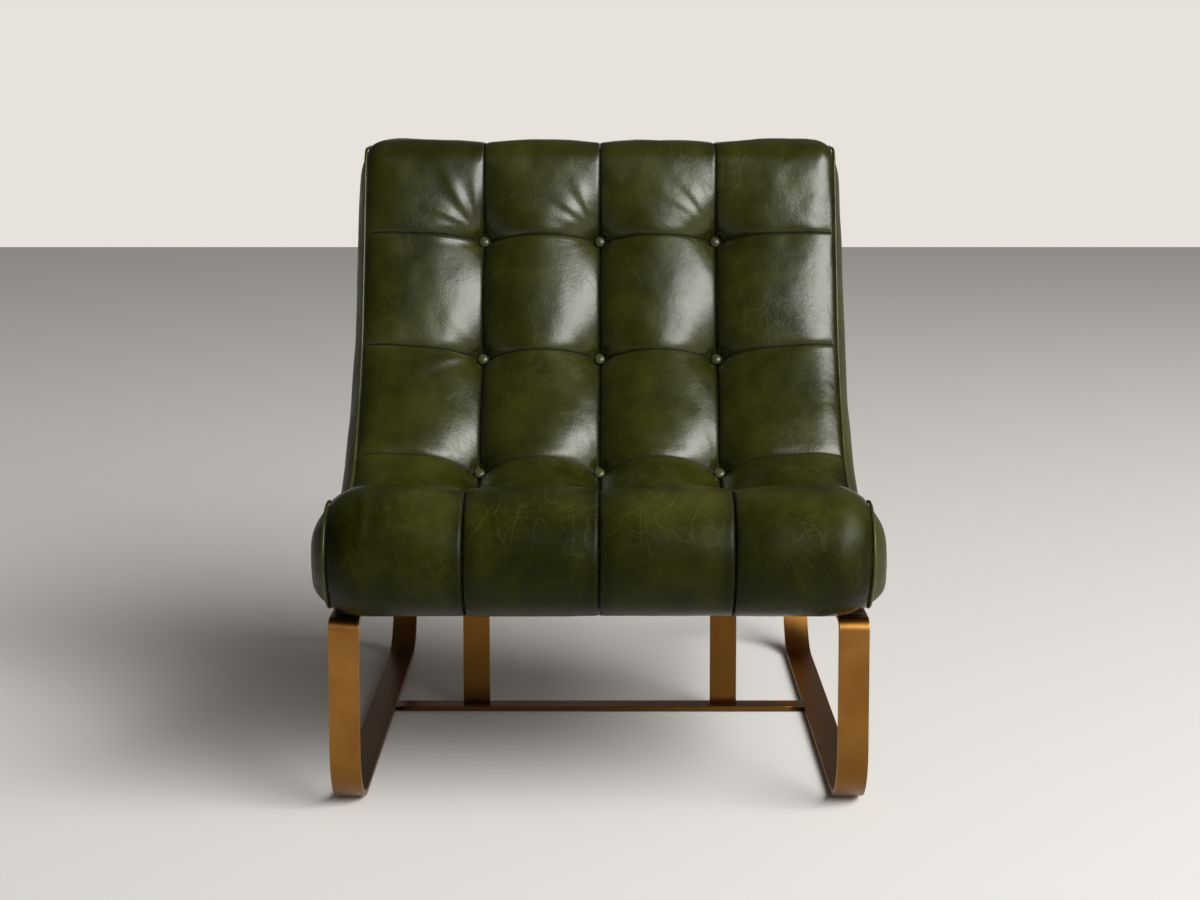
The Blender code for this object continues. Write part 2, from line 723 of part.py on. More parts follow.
def make_base_rail():
    back = BASE_RAIL_FRONT + BASE_RAIL_WIDTH
    top = FRAME_BOTTOM + BASE_RAIL_HEIGHT
    rail = rail_between("base_rail", [(BASE_RAIL_FRONT, FRAME_BOTTOM), (back, FRAME_BOTTOM), (back, top),
                                      (BASE_RAIL_FRONT, top)])
    for side, sign in sides():
        drill(rail, sign * UPRIGHT_SPACING / 2, screw_depth(), FRAME_BOTTOM - CUT_OVERRUN,
              UNDERSIDE - FIT - BAR_THICKNESS + SCREW_LENGTH + BLIND_HOLE_EXTRA,
              BOLT_RADIUS + HOLE_CLEARANCE)


def lumbar_start():
    return rows[1]


def make_lumbar_rail():
    first, last = lumbar_start(), lumbar_start() + LUMBAR_RAIL_LENGTH
    outline = behind_foam_run(first, last, FIT) + behind_foam_run(first, last, FIT + LUMBAR_RAIL)[::-1]
    rail_between("lumbar_rail", outline)


def make_top_rail():
    """A rail that fills the top of the frame and follows the foam round it."""
    rail_between("top_rail", behind_foam_run(crest_start - TOP_RAIL_DROP, face_end, FIT))


def spread(points, half):
    """A straight crossing of the chair at each side-view point."""
    return [[(-half, *point), (half, *point)] for point in points]


def make_felt():
    """The felt pad over the springs, from the front rail to the lumbar rail."""
    first, last = roll_crest() + FELT, lumbar_start() - FIT
    upper, lower = (behind_foam_run(first, last, distance) for distance in (FIT, FIT + FELT))
    loft("spring_felt", spread(upper, FELT_HALF), spread(lower, FELT_HALF), felt_grey)


def make_springs():
    """Zigzag springs under the felt, from the front rail to the lumbar rail."""
    shrink = (ROLL_TOP_RADIUS - FOAM) / ROLL_TOP_RADIUS
    first = roll_crest() + (SPRING_WIRE / 2 + 2 * FIT) / shrink
    last = lumbar_start() - SPRING_WIRE / 2 - FIT
    count = SPRING_BEND_COUNT * SPRING_BEND_STEPS
    for index in range(SPRING_COUNT):
        middle = (index - (SPRING_COUNT - 1) / 2) * SPRING_SPACING
        points = []
        for step in range(count + 1):
            y, z = behind_foam(first + (last - first) * step / count, 3 * FIT + FELT + SPRING_WIRE / 2)
            swing = math.sin(math.pi * step / SPRING_BEND_STEPS) * SPRING_WIDTH / 2
            points.append((middle + swing, y, z))
        tube("seat_spring_" + str(index + 1), points, SPRING_WIRE / 2, spring_steel)


def make_straps():
    """Straps behind the back foam, from one side frame to the other."""
    first = lumbar_start() + LUMBAR_RAIL_LENGTH
    last = crest_start - TOP_RAIL_DROP
    pitch = (last - first) / STRAP_COUNT
    half = FRAME_INNER - FIT
    for index in range(STRAP_COUNT):
        low = first + (index + 1 / 2) * pitch - STRAP_WIDTH / 2
        upper = behind_foam_run(low, low + STRAP_WIDTH, FIT)
        lower = behind_foam_run(low, low + STRAP_WIDTH, FIT + STRAP_THICKNESS)
        loft("back_strap_" + str(index + 1), spread(upper, half), spread(lower, half), strap_web)


def make_columns():
    """The four leather columns of the face, each tucked in at its seams, creases and buttons."""
    names = ("far_left", "mid_left", "mid_right", "far_right")
    for column, name in enumerate(names):
        outer = [face_row(s, column) for s in stations]
        inner = [face_row(s, column, LEATHER) for s in stations]
        loft("leather_column_" + name, outer, inner, green_leather)


def foam_row(s):
    """Points across the whole foam at length s, on the leather's inner side."""
    points = []
    last = len(SEAM_SHARES) - 2
    for column in range(last + 1):
        samples = face_row(s, column, LEATHER + FIT)
        if column == 0:
            samples = samples[1:]
        if column == last:
            samples = samples[:-1]
        if points:
            x, y, z = samples[0]
            points[-1] = (x - FIT / 2, y, z)
            samples = samples[1:]
        points += samples
    return points


def make_foam():
    """The seat and back foam, which fill the columns and meet in the crease behind the seat."""
    split = next(index for index, s in enumerate(foam_stations) if s >= rows[1])
    meeting = foam_stations[split]
    lower = foam_stations[:split] + [meeting - FIT / 2]
    upper = [meeting + FIT / 2] + foam_stations[split + 1:]
    foams = (("seat_foam", lower, seat_foam_white), ("back_foam", upper, back_foam_white))
    for name, spots, surface in foams:
        outer = [foam_row(s) for s in spots]
        inner = []
        for s in spots:
            y, z = foam_back(s)[0]
            inner.append([(-FRAME_HALF, y, z), (FRAME_HALF, y, z)])
        loft(name, outer, inner, surface)


def make_buttons():
    """Domed leather buttons, sunk where the cross creases meet the seams."""
    profile = [(0.0, BUTTON_HEIGHT)]
    for step in range(1, BUTTON_DOME_STEPS + 1):
        angle = math.pi / 2 * step / BUTTON_DOME_STEPS
        profile.append((BUTTON_RADIUS * math.sin(angle),
                        BUTTON_EDGE + (BUTTON_HEIGHT - BUTTON_EDGE) * math.cos(angle)))
    profile += [(BUTTON_RADIUS, 0.0), (0.0, 0.0)]
    for number, row in enumerate(rows[::-1], 1):
        place, normal = crown_line.at(row)
        spot = place + normal * (BUTTON_SINK - FIT)
        for side, share in zip(("left", "middle", "right"), SEAM_SHARES[1:-1]):
            button = turned("tuft_button_row" + str(number) + "_" + side, profile, BUTTON_SIDES,
                            button_leather)
            button.location = (share * half_width(place[1]), *spot)
            button.rotation_euler.x = math.atan2(normal[0], -normal[1])


def edge_place(s, under):
    """Side-view point a distance under the leather's outer edge at length s, and the half width there."""
    column = len(SEAM_SHARES) - 2
    x = face_row(s, column)[-1][0]
    return np.array(face_row(s, column, under)[-1][1:]), x


def make_welts():
    """A fine sewn welt along each edge of the face."""
    for side, sign in sides():
        points = []
        for s in stations[1:]:
            (y, z), x = edge_place(s, LEATHER / 2)
            points.append((sign * (x + FIT + WELT_RADIUS), y, z))
        tube("welt_" + side, points, WELT_RADIUS, welt_leather)


def rear_edge_depth(s):
    """Depth of the leather's edge at length s of the rear line, where a column's end reaches round it."""
    hem = ROLL_TUCK - PAIR_START - (rear_line.length - s)
    if s < tail:
        return edge_depth(crest_end + s)
    return edge_depth(hem) if hem > 0 else 0.0


def boxing_rows():
    """Side-view points of the side panel, in rows from the face's edge to a partner on the rear line."""
    spots = [s for s in stations if roll_start <= s <= crest_end]
    span = rear_line.length - PAIR_END
    shares = [(s - spots[0]) / (spots[-1] - spots[0]) for s in spots]
    grid = []
    for s, share in zip(spots, np.interp(shares, PAIR_FACE_SHARES, PAIR_REAR_SHARES)):
        front, x = edge_place(s, LEATHER + FIT)
        place = rear_line.length - share * span
        back = inside_rear(place, LEATHER + 2 * FIT + rear_edge_depth(place))
        grid.append([(front + (back - front) * part, x + (half_width(back[1]) - x) * part)
                     for part in BOXING_SHARES])
    return grid


def distance_to_rim(place, rim):
    """Distance from a point to a closed outline of straight runs."""
    runs = np.roll(rim, -1, axis=0) - rim
    shares = np.clip(((place - rim) * runs).sum(1) / (runs ** 2).sum(1), 0.0, 1.0)
    return float(np.hypot(*(rim + runs * shares[:, None] - place).T).min())


def boxing_grid(inset):
    """Points of the right side panel, a distance in from its outer surface.

    The panel swells with the distance from its own edges, soonest at the bottom of the roll.
    """
    rows_of_points = boxing_rows()
    rim = np.array([row[0][0] for row in rows_of_points] + [row[-1][0] for row in rows_of_points[::-1]])
    grid = []
    for row in rows_of_points:
        points = []
        for place, edge in row:
            span = np.interp(place[1], [UNDERSIDE, ROLL_CORNER_HEIGHT], [BULGE_REACH_LOW, BULGE_REACH_HIGH])
            reach = min(1.0, distance_to_rim(place, rim) / span)
            swell = (BODY_WIDTH / 2 - edge) * (1 - (1 - reach) ** BULGE_POWER)
            points.append((edge + swell - inset, *place))
        grid.append(points)
    return grid


def mirrored(grid, sign):
    return [[(sign * x, y, z) for x, y, z in row] for row in grid]


def make_sides():
    """The side pads on the frames, and the leather side panels over them."""
    for side, sign in sides():
        panel = mirrored(boxing_grid(0.0), sign)
        panel_inner = mirrored(boxing_grid(LEATHER), sign)
        loft("side_panel_" + side, panel, panel_inner, side_leather)
        pad = mirrored(boxing_grid(LEATHER + FIT), sign)
        flat = sign * (FRAME_HALF + FIT)
        pad_inner = [[(flat, *row[0][1:]), (flat, *row[-1][1:])] for row in pad]
        loft("side_pad_" + side, pad, pad_inner, wadding)


def cover_split():
    """Depth under the chair at which the dust cover meets the outer back leather."""
    return rear_line.at(rear_line.arc_spans[0][1])[0][0] - FIT


def make_outer_back():
    """The leather down the back, from the columns' ends round the heel to the dust cover."""
    outer, inner = [], []
    for s in [tail + FIT] + rear_stations[1:-1]:
        half = half_width(inside_rear(s, 0.0)[1])
        for grid, distance in ((outer, 0.0), (inner, LEATHER)):
            grid += spread([inside_rear(s, distance)], half)
    loft("outer_back", outer, inner, back_leather)


def make_dust_cover():
    front = ROLL_TUCK + FIT
    cover = block("dust_cover", (-FRAME_HALF, front, UNDERSIDE),
                  (FRAME_HALF, cover_split(), UNDERSIDE + CLOTH), black_cloth)
    for side, sign in sides():
        for depth in BOLT_DEPTHS:
            drill(cover, sign * BOLT_X, depth, UNDERSIDE - CUT_OVERRUN, FRAME_BOTTOM + CUT_OVERRUN,
                  BOLT_RADIUS + HOLE_CLEARANCE)
        drill(cover, sign * UPRIGHT_SPACING / 2, screw_depth(), UNDERSIDE - CUT_OVERRUN,
              FRAME_BOTTOM + CUT_OVERRUN, BOLT_RADIUS + HOLE_CLEARANCE)


make_hoops()
make_crossbar()
make_uprights()
make_glides()
make_spacers()
make_fasteners()
make_side_frames()
make_front_rail()
make_base_rail()
make_lumbar_rail()
make_top_rail()
make_felt()
make_springs()
make_straps()
make_foam()
make_columns()
make_buttons()
make_welts()
make_sides()
make_outer_back()
make_dust_cover()
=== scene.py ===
"""Looks of an armless scoop lounge chair: tufted green leather on two hoops of aged brass bar."""
import math

import bmesh
import bpy
import numpy as np
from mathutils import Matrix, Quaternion, Vector


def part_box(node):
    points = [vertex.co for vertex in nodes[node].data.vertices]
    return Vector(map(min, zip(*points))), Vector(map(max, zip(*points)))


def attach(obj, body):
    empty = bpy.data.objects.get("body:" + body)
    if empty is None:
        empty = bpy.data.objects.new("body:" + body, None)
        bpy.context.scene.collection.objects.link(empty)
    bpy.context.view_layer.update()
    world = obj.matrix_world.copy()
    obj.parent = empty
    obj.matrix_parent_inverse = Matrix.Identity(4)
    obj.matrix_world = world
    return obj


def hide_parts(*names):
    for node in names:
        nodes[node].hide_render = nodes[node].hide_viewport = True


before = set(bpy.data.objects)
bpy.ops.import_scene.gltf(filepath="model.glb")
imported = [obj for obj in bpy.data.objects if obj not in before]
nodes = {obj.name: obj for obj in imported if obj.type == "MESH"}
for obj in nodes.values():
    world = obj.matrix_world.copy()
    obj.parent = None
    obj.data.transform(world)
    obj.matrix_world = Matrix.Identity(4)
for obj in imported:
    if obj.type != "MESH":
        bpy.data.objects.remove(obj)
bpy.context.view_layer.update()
scene = bpy.context.scene

# Side view of the body, in depth and height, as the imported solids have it
MIDDLE = 0.37575
LEATHER, FIT = 0.0016, 0.0004
UNDERSIDE, HEIGHT = 0.2515, 0.824
BODY_HALF, TOP_HALF, LOW_HALF, FRAME_HALF = 0.3555, 0.339, 0.3312, 0.3232
ROLL_FRONT, ROLL_CORNER_HEIGHT, ROLL_TOP_RADIUS = -0.055, 0.4545, 0.085
FRONT_HEM, REAR_HEM = 0.075, 0.075
SEAMS = (-1.0, -0.4975, 0.0, 0.4975, 1.0)
SIDES = (("left", -1), ("right", 1))
SIDEWAYS, BACKWARD = np.array((1.0, 0.0, 0.0)), np.array((0.0, 1.0, 0.0))
COLUMN_HALF = (SEAMS[4] - SEAMS[3]) * TOP_HALF / 2
COLUMN_WIDTH, COLUMN_STEP = 0.168, 0.0042
ROW_FROM_TOP, ROW_PITCH, ROW_COUNT = 0.109, 0.171, 4
BUTTON_SINK, BUTTON_RADIUS, BUTTON_HEIGHT, BUTTON_EDGE = 0.049, 0.0079, 0.0066, 0.0018
CREASE, CREASE_EDGE, EDGE_ROUNDING = 0.0055, 0.003, 0.045
EDGE_ROUNDING_TOP, CHANNEL_POWER, CLIMB_POWER = 0.022, 2.2, 1.5
NEAR_POWER_ABOVE, NEAR_POWER_BELOW = 2.75, 2.15
EDGE_LIFT, EDGE_DROP_ROLL, EDGE_DROP_BACK, EDGE_DROP_REAR, EDGE_RAMP = 0.009, 0.02, 0.0125, 0.0075, 0.055
ROLL_CHANNEL, BACK_CHANNEL, TOP_CHANNEL = 0.0075, 0.021, 0.004
WELT_RADIUS, CORD_SIDES, CLOTH_THICKNESS = 0.0021, 10, 0.0003
PANEL_STOP, PANEL_LIFT_RUN, PANEL_PROUD = 0.015, 0.045, 0.001
BAR_WIDTH, BAR_THICKNESS, GLIDE = 0.0381, 0.00635, 0.002
HOOP_HALF, HOOP_DEPTH, HOOP_TOP = 0.3344, 0.8065, 0.2482
HOOP_FOOT_RADIUS, HOOP_TOP_RADIUS, UPRIGHT_RADIUS = 0.082, 0.015, 0.01

# Rolled edges of the finished leather: how far each reaches from its seam and how deep it turns in
SEAM_REACH, SEAM_TURN, SEAM_TURN_LOSS = 0.0044, 0.0052, 0.0026
FREE_REACH, FREE_TURN, FREE_HOLD = 0.0065, 0.0022, 0.008
CREASE_ABOVE, CREASE_BELOW, CREASE_TURN = 0.0125, 0.0048, 0.0046
SEAT_FLAT, SEAT_RISE = 0.0068, 0.0062

# The cloth simulation's grid, the slack that its leather has and how far a point may move
CLOTH_ACROSS, CLOTH_ALONG, CLOTH_FRAMES = 26, 214, 20
CLOTH_GROWTH, CLOTH_CAP, CLOTH_SLACK_RADIUS = 0.025, 0.005, 0.06


class Line:
    """Straight runs joined by tangent arcs in the side view, read by length."""

    def __init__(self, corners, radii):
        corners = [np.array(c, float) for c in corners]
        self.spans, parts, start, length = [], [], corners[0], 0.0
        for corner, after, radius in zip(corners[1:], corners[2:], radii):
            a, b = corner - start, after - corner
            heading = math.atan2(a[1], a[0])
            turn = math.atan2(a[0] * b[1] - a[1] * b[0], a @ b)
            cut = radius * math.tan(abs(turn) / 2)
            straight = math.hypot(*a) - cut
            parts.append((length, *start, heading, 0.0))
            length += straight
            bend = math.copysign(1 / radius, turn)
            parts.append((length, *(start + a / math.hypot(*a) * straight), heading, bend))
            self.spans.append((length, length + radius * abs(turn)))
            length = self.spans[-1][1]
            start = corner + b / math.hypot(*b) * cut
        a = corners[-1] - start
        parts.append((length, *start, math.atan2(a[1], a[0]), 0.0))
        self.length = length + math.hypot(*a)
        self.parts = np.array(parts)

    def at(self, s):
        """Points at lengths s and their unit normals to the right of travel, as rows of depth and height."""
        s = np.asarray(s, float)
        part = self.parts[np.searchsorted(self.parts[:, 0], s, "right").clip(1) - 1]
        first, y, z, heading, bend = np.moveaxis(part, -1, 0)
        run = s - first
        turned = heading + bend * run
        safe = np.where(bend == 0, 1.0, bend)
        dy = np.where(bend == 0, run * np.cos(heading), (np.sin(turned) - np.sin(heading)) / safe)
        dz = np.where(bend == 0, run * np.sin(heading), (np.cos(heading) - np.cos(turned)) / safe)
        return np.stack([y + dy, z + dz], -1), np.stack([np.sin(turned), -np.cos(turned)], -1)


top_rear = np.array((0.665, HEIGHT))
heel = np.array((0.515, UNDERSIDE))
fall = (heel - top_rear) / np.hypot(*(heel - top_rear))
# The crown line runs from under the roll, over the seat and the back, to the hem behind the top
crown = Line([(FRONT_HEM, UNDERSIDE), (ROLL_FRONT, UNDERSIDE), (ROLL_FRONT, ROLL_CORNER_HEIGHT),
              (0.233, 0.33), (0.4063, 0.5226), (0.526, HEIGHT), top_rear, top_rear + fall * REAR_HEM],
             [0.069, ROLL_TOP_RADIUS, 0.17, 0.45, 0.045, 0.05])
roll_start, roll_end = crown.spans[0][0], crown.spans[1][1]
roll_crest = crown.spans[1][0] + ROLL_TOP_RADIUS * math.pi / 2
crest_start, crest_end, face_end = crown.spans[4][0], crown.spans[5][1], crown.length
rear = Line([crown.at(crest_end)[0], heel, (0.03, UNDERSIDE)], [0.09])
tail = face_end - crest_end
rows = np.array([crest_start - ROW_FROM_TOP - ROW_PITCH * i for i in range(ROW_COUNT)])[::-1]


def half_width(z):
    """Half the face's width at a height."""
    return LOW_HALF + (TOP_HALF - LOW_HALF) * (z - UNDERSIDE) / (HEIGHT - UNDERSIDE)


def smooth(t):
    """A soft step from 0 to 1 as t goes from 0 to 1."""
    t = np.clip(t, 0.0, 1.0)
    return t * t * (3 - 2 * t)


def fade(distance, width, power=2):
    """1 at no distance, and less and less past a width."""
    return np.exp(-(distance / width) ** power)


def lattice(a, b, cell_a, cell_b, seed):
    """Smooth noise from -1 to 1 over two coordinates, with its own cell size along each."""
    table = np.random.default_rng(seed).uniform(-1, 1, (256, 256))
    a, b = a / cell_a, b / cell_b
    ia, ib = np.floor(a).astype(int), np.floor(b).astype(int)
    fa, fb = smooth(a - ia), smooth(b - ib)
    def corner(i, j):
        return table[(ia + i) % 256, (ib + j) % 256]
    low = corner(0, 0) * (1 - fa) + corner(1, 0) * fa
    high = corner(0, 1) * (1 - fa) + corner(1, 1) * fa
    return low * (1 - fb) + high * fb


def lip(distance, radius, depth):
    """Depth of a rounded edge that turns down into a seam, at a distance from the seam."""
    t = np.clip(1 - distance / radius, 0.0, 1.0)
    return depth * (1 - np.sqrt(np.maximum(0.0, 1 - t * t)))


def graded(length, step, edge=(0.0, 0.0004, 0.001, 0.0019, 0.0032, 0.005, 0.0072)):
    """Places from 0 to length that crowd together at both ends."""
    edge = np.array(edge)
    inner = np.linspace(edge[-1], length - edge[-1], max(3, round((length - 2 * edge[-1]) / step) + 1))
    return np.concatenate([edge[:-1], inner, length - edge[-2::-1]])


# Tufted face: a depth below the crown line for every length s and every place x

def side_depths(s):
    """Depths at lengths s of the channel that runs down each seam and of the face's free edge."""
    channel = np.interp(s, [roll_start, roll_end, rows[0], rows[-1], crest_start, crest_end, face_end],
                        [0.0, ROLL_CHANNEL, BACK_CHANNEL, BACK_CHANNEL, TOP_CHANNEL, TOP_CHANNEL, 0.0])
    edge = np.interp(s, [0.0, roll_start, roll_start + EDGE_RAMP, roll_end,
                         rows[1], crest_start, crest_end, face_end],
                     [0.0, EDGE_LIFT, EDGE_DROP_ROLL, EDGE_DROP_ROLL,
                      EDGE_DROP_BACK, EDGE_DROP_BACK, EDGE_DROP_REAR, 0.0])
    return channel, edge


def near_row(s):
    """How near each length is to a row of buttons, from 0 to 1, and its signed distance from that row."""
    above = s - rows[np.abs(s[..., None] - rows).argmin(-1)]
    power = np.where(above > 0, NEAR_POWER_ABOVE, NEAR_POWER_BELOW)
    return np.maximum(0.0, 1 - 2 * np.abs(above) / ROW_PITCH) ** power, above


def edge_climb(s):
    """How far the creases have climbed by the face's outer edge."""
    return np.interp(s, [roll_crest, *rows, crest_start], [0.0, 0.002, 0.006, 0.009, 0.004, 0.0])


def climb(column, s, u):
    """How far the creases of the outer columns climb from their button toward the face's edge."""
    share = (1 - u) / 2 if column == 0 else (1 + u) / 2 if column == 3 else 0.0 * u
    return share ** CLIMB_POWER * edge_climb(s)


def column_width(column, half):
    """Width of one column where the face's half width is half."""
    return (SEAMS[column + 1] - SEAMS[column]) * half


def to_buttons(s, x, half, seams=(1, 2, 3)):
    """The distance of every point from one button after another, along the given seams."""
    for seam in seams:
        for row in rows:
            yield np.hypot(s - row, x - SEAMS[seam] * half)


def pillow_depth(s, u, left_seam, right_seam):
    """Depth of the stuffed shape alone: u runs from -1 to 1 across one column."""
    channel, edge = side_depths(s)
    near, above = near_row(s)
    across = np.abs(u)
    between = channel * across ** CHANNEL_POWER
    sewn = between + (CREASE + (BUTTON_SINK - CREASE) * u * u - between) * near
    reach = np.interp(s, [rows[-1], crest_start], [EDGE_ROUNDING, EDGE_ROUNDING_TOP])
    rounding = np.maximum(0.0, 1 - (1 - across) * COLUMN_HALF / reach) ** 2
    free = edge * rounding + (CREASE + (CREASE_EDGE - CREASE) * across) * near
    return np.where(np.where(u < 0, left_seam, right_seam), sewn, free), above


# Folds that run out from a button, by its row from the top and its seam: degrees, length and height in mm
FOLDS = {
    (1, 1): [(126, 96, 4.3), (143, 98, 4.3), (108, 86, 3.6), (161, 70, 2.7), (190, 80, 3.2), (60, 40, 0.9),
             (318, 40, 0.8)],
    (1, 2): [(113, 84, 3.8), (131, 88, 3.9), (150, 62, 2.6), (60, 36, 0.8), (205, 40, 0.9)],
    (1, 3): [(112, 82, 3.6), (130, 84, 3.6), (148, 60, 2.4), (45, 44, 1.0), (330, 44, 0.9)],
    (2, 1): [(124, 46, 1.5), (141, 50, 1.4), (193, 76, 2.8), (214, 44, 1.0), (330, 36, 0.8)],
    (2, 2): [(121, 44, 1.5), (139, 42, 1.2), (50, 40, 0.8), (212, 42, 0.9)],
    (2, 3): [(118, 46, 1.6), (137, 42, 1.2), (38, 44, 1.0), (326, 50, 1.2)],
    (3, 1): [(122, 46, 1.6), (140, 42, 1.2), (206, 40, 1.0), (52, 38, 0.9)],
    (3, 2): [(120, 46, 1.6), (138, 42, 1.3), (56, 36, 0.8), (300, 36, 0.8)],
    (3, 3): [(119, 48, 1.8), (136, 46, 1.5), (44, 40, 1.0), (320, 40, 0.9)],
    (4, 1): [(125, 40, 1.2), (235, 44, 1.2)],
    (4, 2): [(60, 40, 1.1), (290, 44, 1.2)],
    (4, 3): [(120, 40, 1.2), (245, 44, 1.2), (310, 40, 1.0)]}


def folds(s, x, half):
    """Height of the folds that run out from the buttons."""
    height = np.zeros_like(x)
    for (row, seam), runs in FOLDS.items():
        ds = s - rows[ROW_COUNT - row]
        dx = x - SEAMS[seam] * half
        for angle, length, rise in runs:
            ca, sa = math.cos(math.radians(angle)), math.sin(math.radians(angle))
            along = (dx * ca + ds * sa) * 1000
            aside = (ds * ca - dx * sa) * 1000
            # Each fold bows a little to one side, by an amount that varies from angle to angle
            aside = aside + 0.0022 * along * along * math.sin(angle)
            width = 2.6 + 0.085 * np.maximum(along, 0)
            reach = smooth((along - 9) / 16) * fade(np.maximum(along, 0), length, 2.6)
            ridge = fade(aside, width) - 0.42 * fade(aside / width, 2.1)
            height += rise * 0.001 * reach * ridge
    return height


def wrinkles(s, x, outer):
    """Height of the fine creases and slack that leather takes over its stuffing."""
    slack = lattice(x, s, 0.05, 0.06, 3) * 0.0009 + lattice(x, s, 0.021, 0.03, 4) * 0.00035
    on_roll = fade(s - roll_crest + 0.012, 0.055)
    streaks = np.abs(lattice(x + 0.3 * lattice(x, s, 0.05, 0.04, 5) * 0.02, s, 0.0075, 0.055, 6))
    patches = 0.5 + 0.5 * lattice(x, s, 0.06, 0.05, 7)
    roll = on_roll * patches * (streaks - 0.4) * np.where(x < -0.2, 0.0018, 0.0009)
    # Two upright folds that stand at the left end of the roll
    for place, rise, width in ((-0.287, 0.0026, 0.0065), (-0.262, 0.0013, 0.005)):
        lean = x - place - 0.1 * (s - roll_crest + 0.05) - 0.003 * np.sin((s - roll_crest) * 60)
        roll = roll + rise * fade(lean, width) * fade(s - roll_crest + 0.052, 0.034)
    band = outer * fade(s - rows[1] - 0.055, 0.05)
    slant = (np.abs(lattice(x - 0.6 * s, s + 0.5 * x, 0.06, 0.0085, 8)) - 0.4) * 0.0008
    return slack + roll + band * slant


def column_places(column, ss, us, gap=0.0):
    """Lengths s, shares u, places x and half widths over one column, with their places and normals."""
    s, u = np.meshgrid(ss, us, indexing="ij")
    half = half_width(crown.at(ss)[0][:, 1])[:, None]
    left = SEAMS[column] * half + (gap if column else 0)
    right = SEAMS[column + 1] * half - (gap if column < 3 else 0)
    place, normal = crown.at(s + climb(column, s, u))
    return s, u, (left + right) / 2 + u * (right - left) / 2, half, place, normal


def column_grid(column):
    """The finely spaced points of one column, closer together at its seams and creases."""
    breaks = [roll_start, *rows, face_end]
    ss = [np.linspace(0.0, roll_start, 12)[:-1]]
    for first, last in zip(breaks, breaks[1:]):
        ss.append(first + graded(last - first, COLUMN_STEP)[:-1])
    us = graded(COLUMN_WIDTH, COLUMN_STEP) / (COLUMN_WIDTH / 2) - 1
    return column_places(column, np.concatenate(ss + [[face_end]]), us, FIT / 2)


def face_depth(column, s, u, x, half):
    """Depth of the finished leather below the crown line, with its seams, creases and folds."""
    left_seam, right_seam = column > 0, column < 3
    depth, above = pillow_depth(s, u, left_seam, right_seam)
    width = column_width(column, half)
    to_left, to_right = (u + 1) / 2 * width, (1 - u) / 2 * width
    on_face = smooth((s - roll_start) / 0.03) * smooth((face_end - s) / 0.02)
    seam_turn = SEAM_TURN - SEAM_TURN_LOSS * (1 - smooth((crest_start - 0.02 - s) / 0.06))
    held, outer = 1.0, 0.0
    for seam, distance, toward in ((left_seam, to_left, -u), (right_seam, to_right, u)):
        if seam:
            depth = depth + on_face * lip(distance, SEAM_REACH, seam_turn)
        else:
            depth = depth + on_face * lip(distance, FREE_REACH, FREE_TURN)
            held = smooth(distance / FREE_HOLD)
            outer = smooth((toward - 0.35) / 0.6)
    # The pillow above a crease rolls under and rests on the one below
    crease = lip(np.abs(above), np.where(above > 0, CREASE_ABOVE, CREASE_BELOW), CREASE_TURN)
    depth = depth + crease * held
    calm = smooth(np.minimum(to_left, to_right) / 0.01) * smooth(np.abs(above) / 0.006)
    depth = depth - (folds(s, x, half) + wrinkles(s, x, outer) * on_face) * calm
    # A flat seat under each button
    for distance in to_buttons(s, x, half, [seam for seam in (column, column + 1) if 0 < seam < 4]):
        depth = BUTTON_SINK + (depth - BUTTON_SINK) * smooth((distance - SEAT_FLAT) / SEAT_RISE)
    return depth


def to_points(x, depth, place, normal):
    """Points in the chair's frame, a depth under the crown line at each place across."""
    if place.ndim == 2:
        place, normal = place[:, None], normal[:, None]
    side = place + normal * depth[..., None]
    return np.stack([x, side[..., 0] - MIDDLE, side[..., 1]], -1)


def add_object(name, data):
    made = bpy.data.objects.new(name, data)
    scene.collection.objects.link(made)
    return made


def grid_object(name, points, wrap=False, uv=None, attributes=None):
    """A mesh of quads over a grid of points, which may wrap round from its last column to its first."""
    n, m = points.shape[:2]
    data = bpy.data.meshes.new(name)
    index = np.arange(n * m).reshape(n, m)
    right = np.roll(index, -1, 1) if wrap else index[:, 1:]
    left = index if wrap else index[:, :-1]
    faces = np.stack([left[:-1], right[:-1], right[1:], left[1:]], -1).reshape(-1, 4)
    data.from_pydata(points.reshape(-1, 3).tolist(), [], faces.tolist())
    for key, values in (attributes or {}).items():
        layer = data.attributes.new(key, "FLOAT", "POINT")
        layer.data.foreach_set("value", np.ascontiguousarray(values, np.float32).ravel())
    if uv is not None:
        layer = data.uv_layers.new(name="run")
        loops = np.zeros(len(data.loops), int)
        data.loops.foreach_get("vertex_index", loops)
        layer.data.foreach_set("uv", uv.reshape(-1, 2)[loops].astype(np.float32).ravel())
    data.shade_smooth()
    return add_object(name, data)


def closed_grid(name, points, joined=False, **settings):
    """A grid that wraps round, with its last row joined to its first or with one face over each open end."""
    piece = grid_object(name, points, wrap=True, **settings)
    shell = bmesh.new()
    shell.from_mesh(piece.data)
    if joined:
        bmesh.ops.remove_doubles(shell, verts=shell.verts, dist=1e-6)
    else:
        bmesh.ops.holes_fill(shell, edges=[e for e in shell.edges if e.is_boundary], sides=0)
    bmesh.ops.recalc_face_normals(shell, faces=shell.faces)
    shell.to_mesh(piece.data)
    shell.free()
    return piece


def thicken(piece, thickness, offset=-1.0):
    """Give a surface a thickness, on its inner side unless the offset says otherwise."""
    solid = piece.modifiers.new("thickness", "SOLIDIFY")
    solid.thickness = thickness
    solid.offset = offset
    return piece


def finish(piece, material, slot, *replaced):
    """Give a piece its material, its body and the nodes that it replaces; the slot is not used."""
    piece.data.materials.clear()
    piece.data.materials.append(material)
    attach(piece, "root")
    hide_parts(*replaced)


# Cloth simulation of the slack in the leather

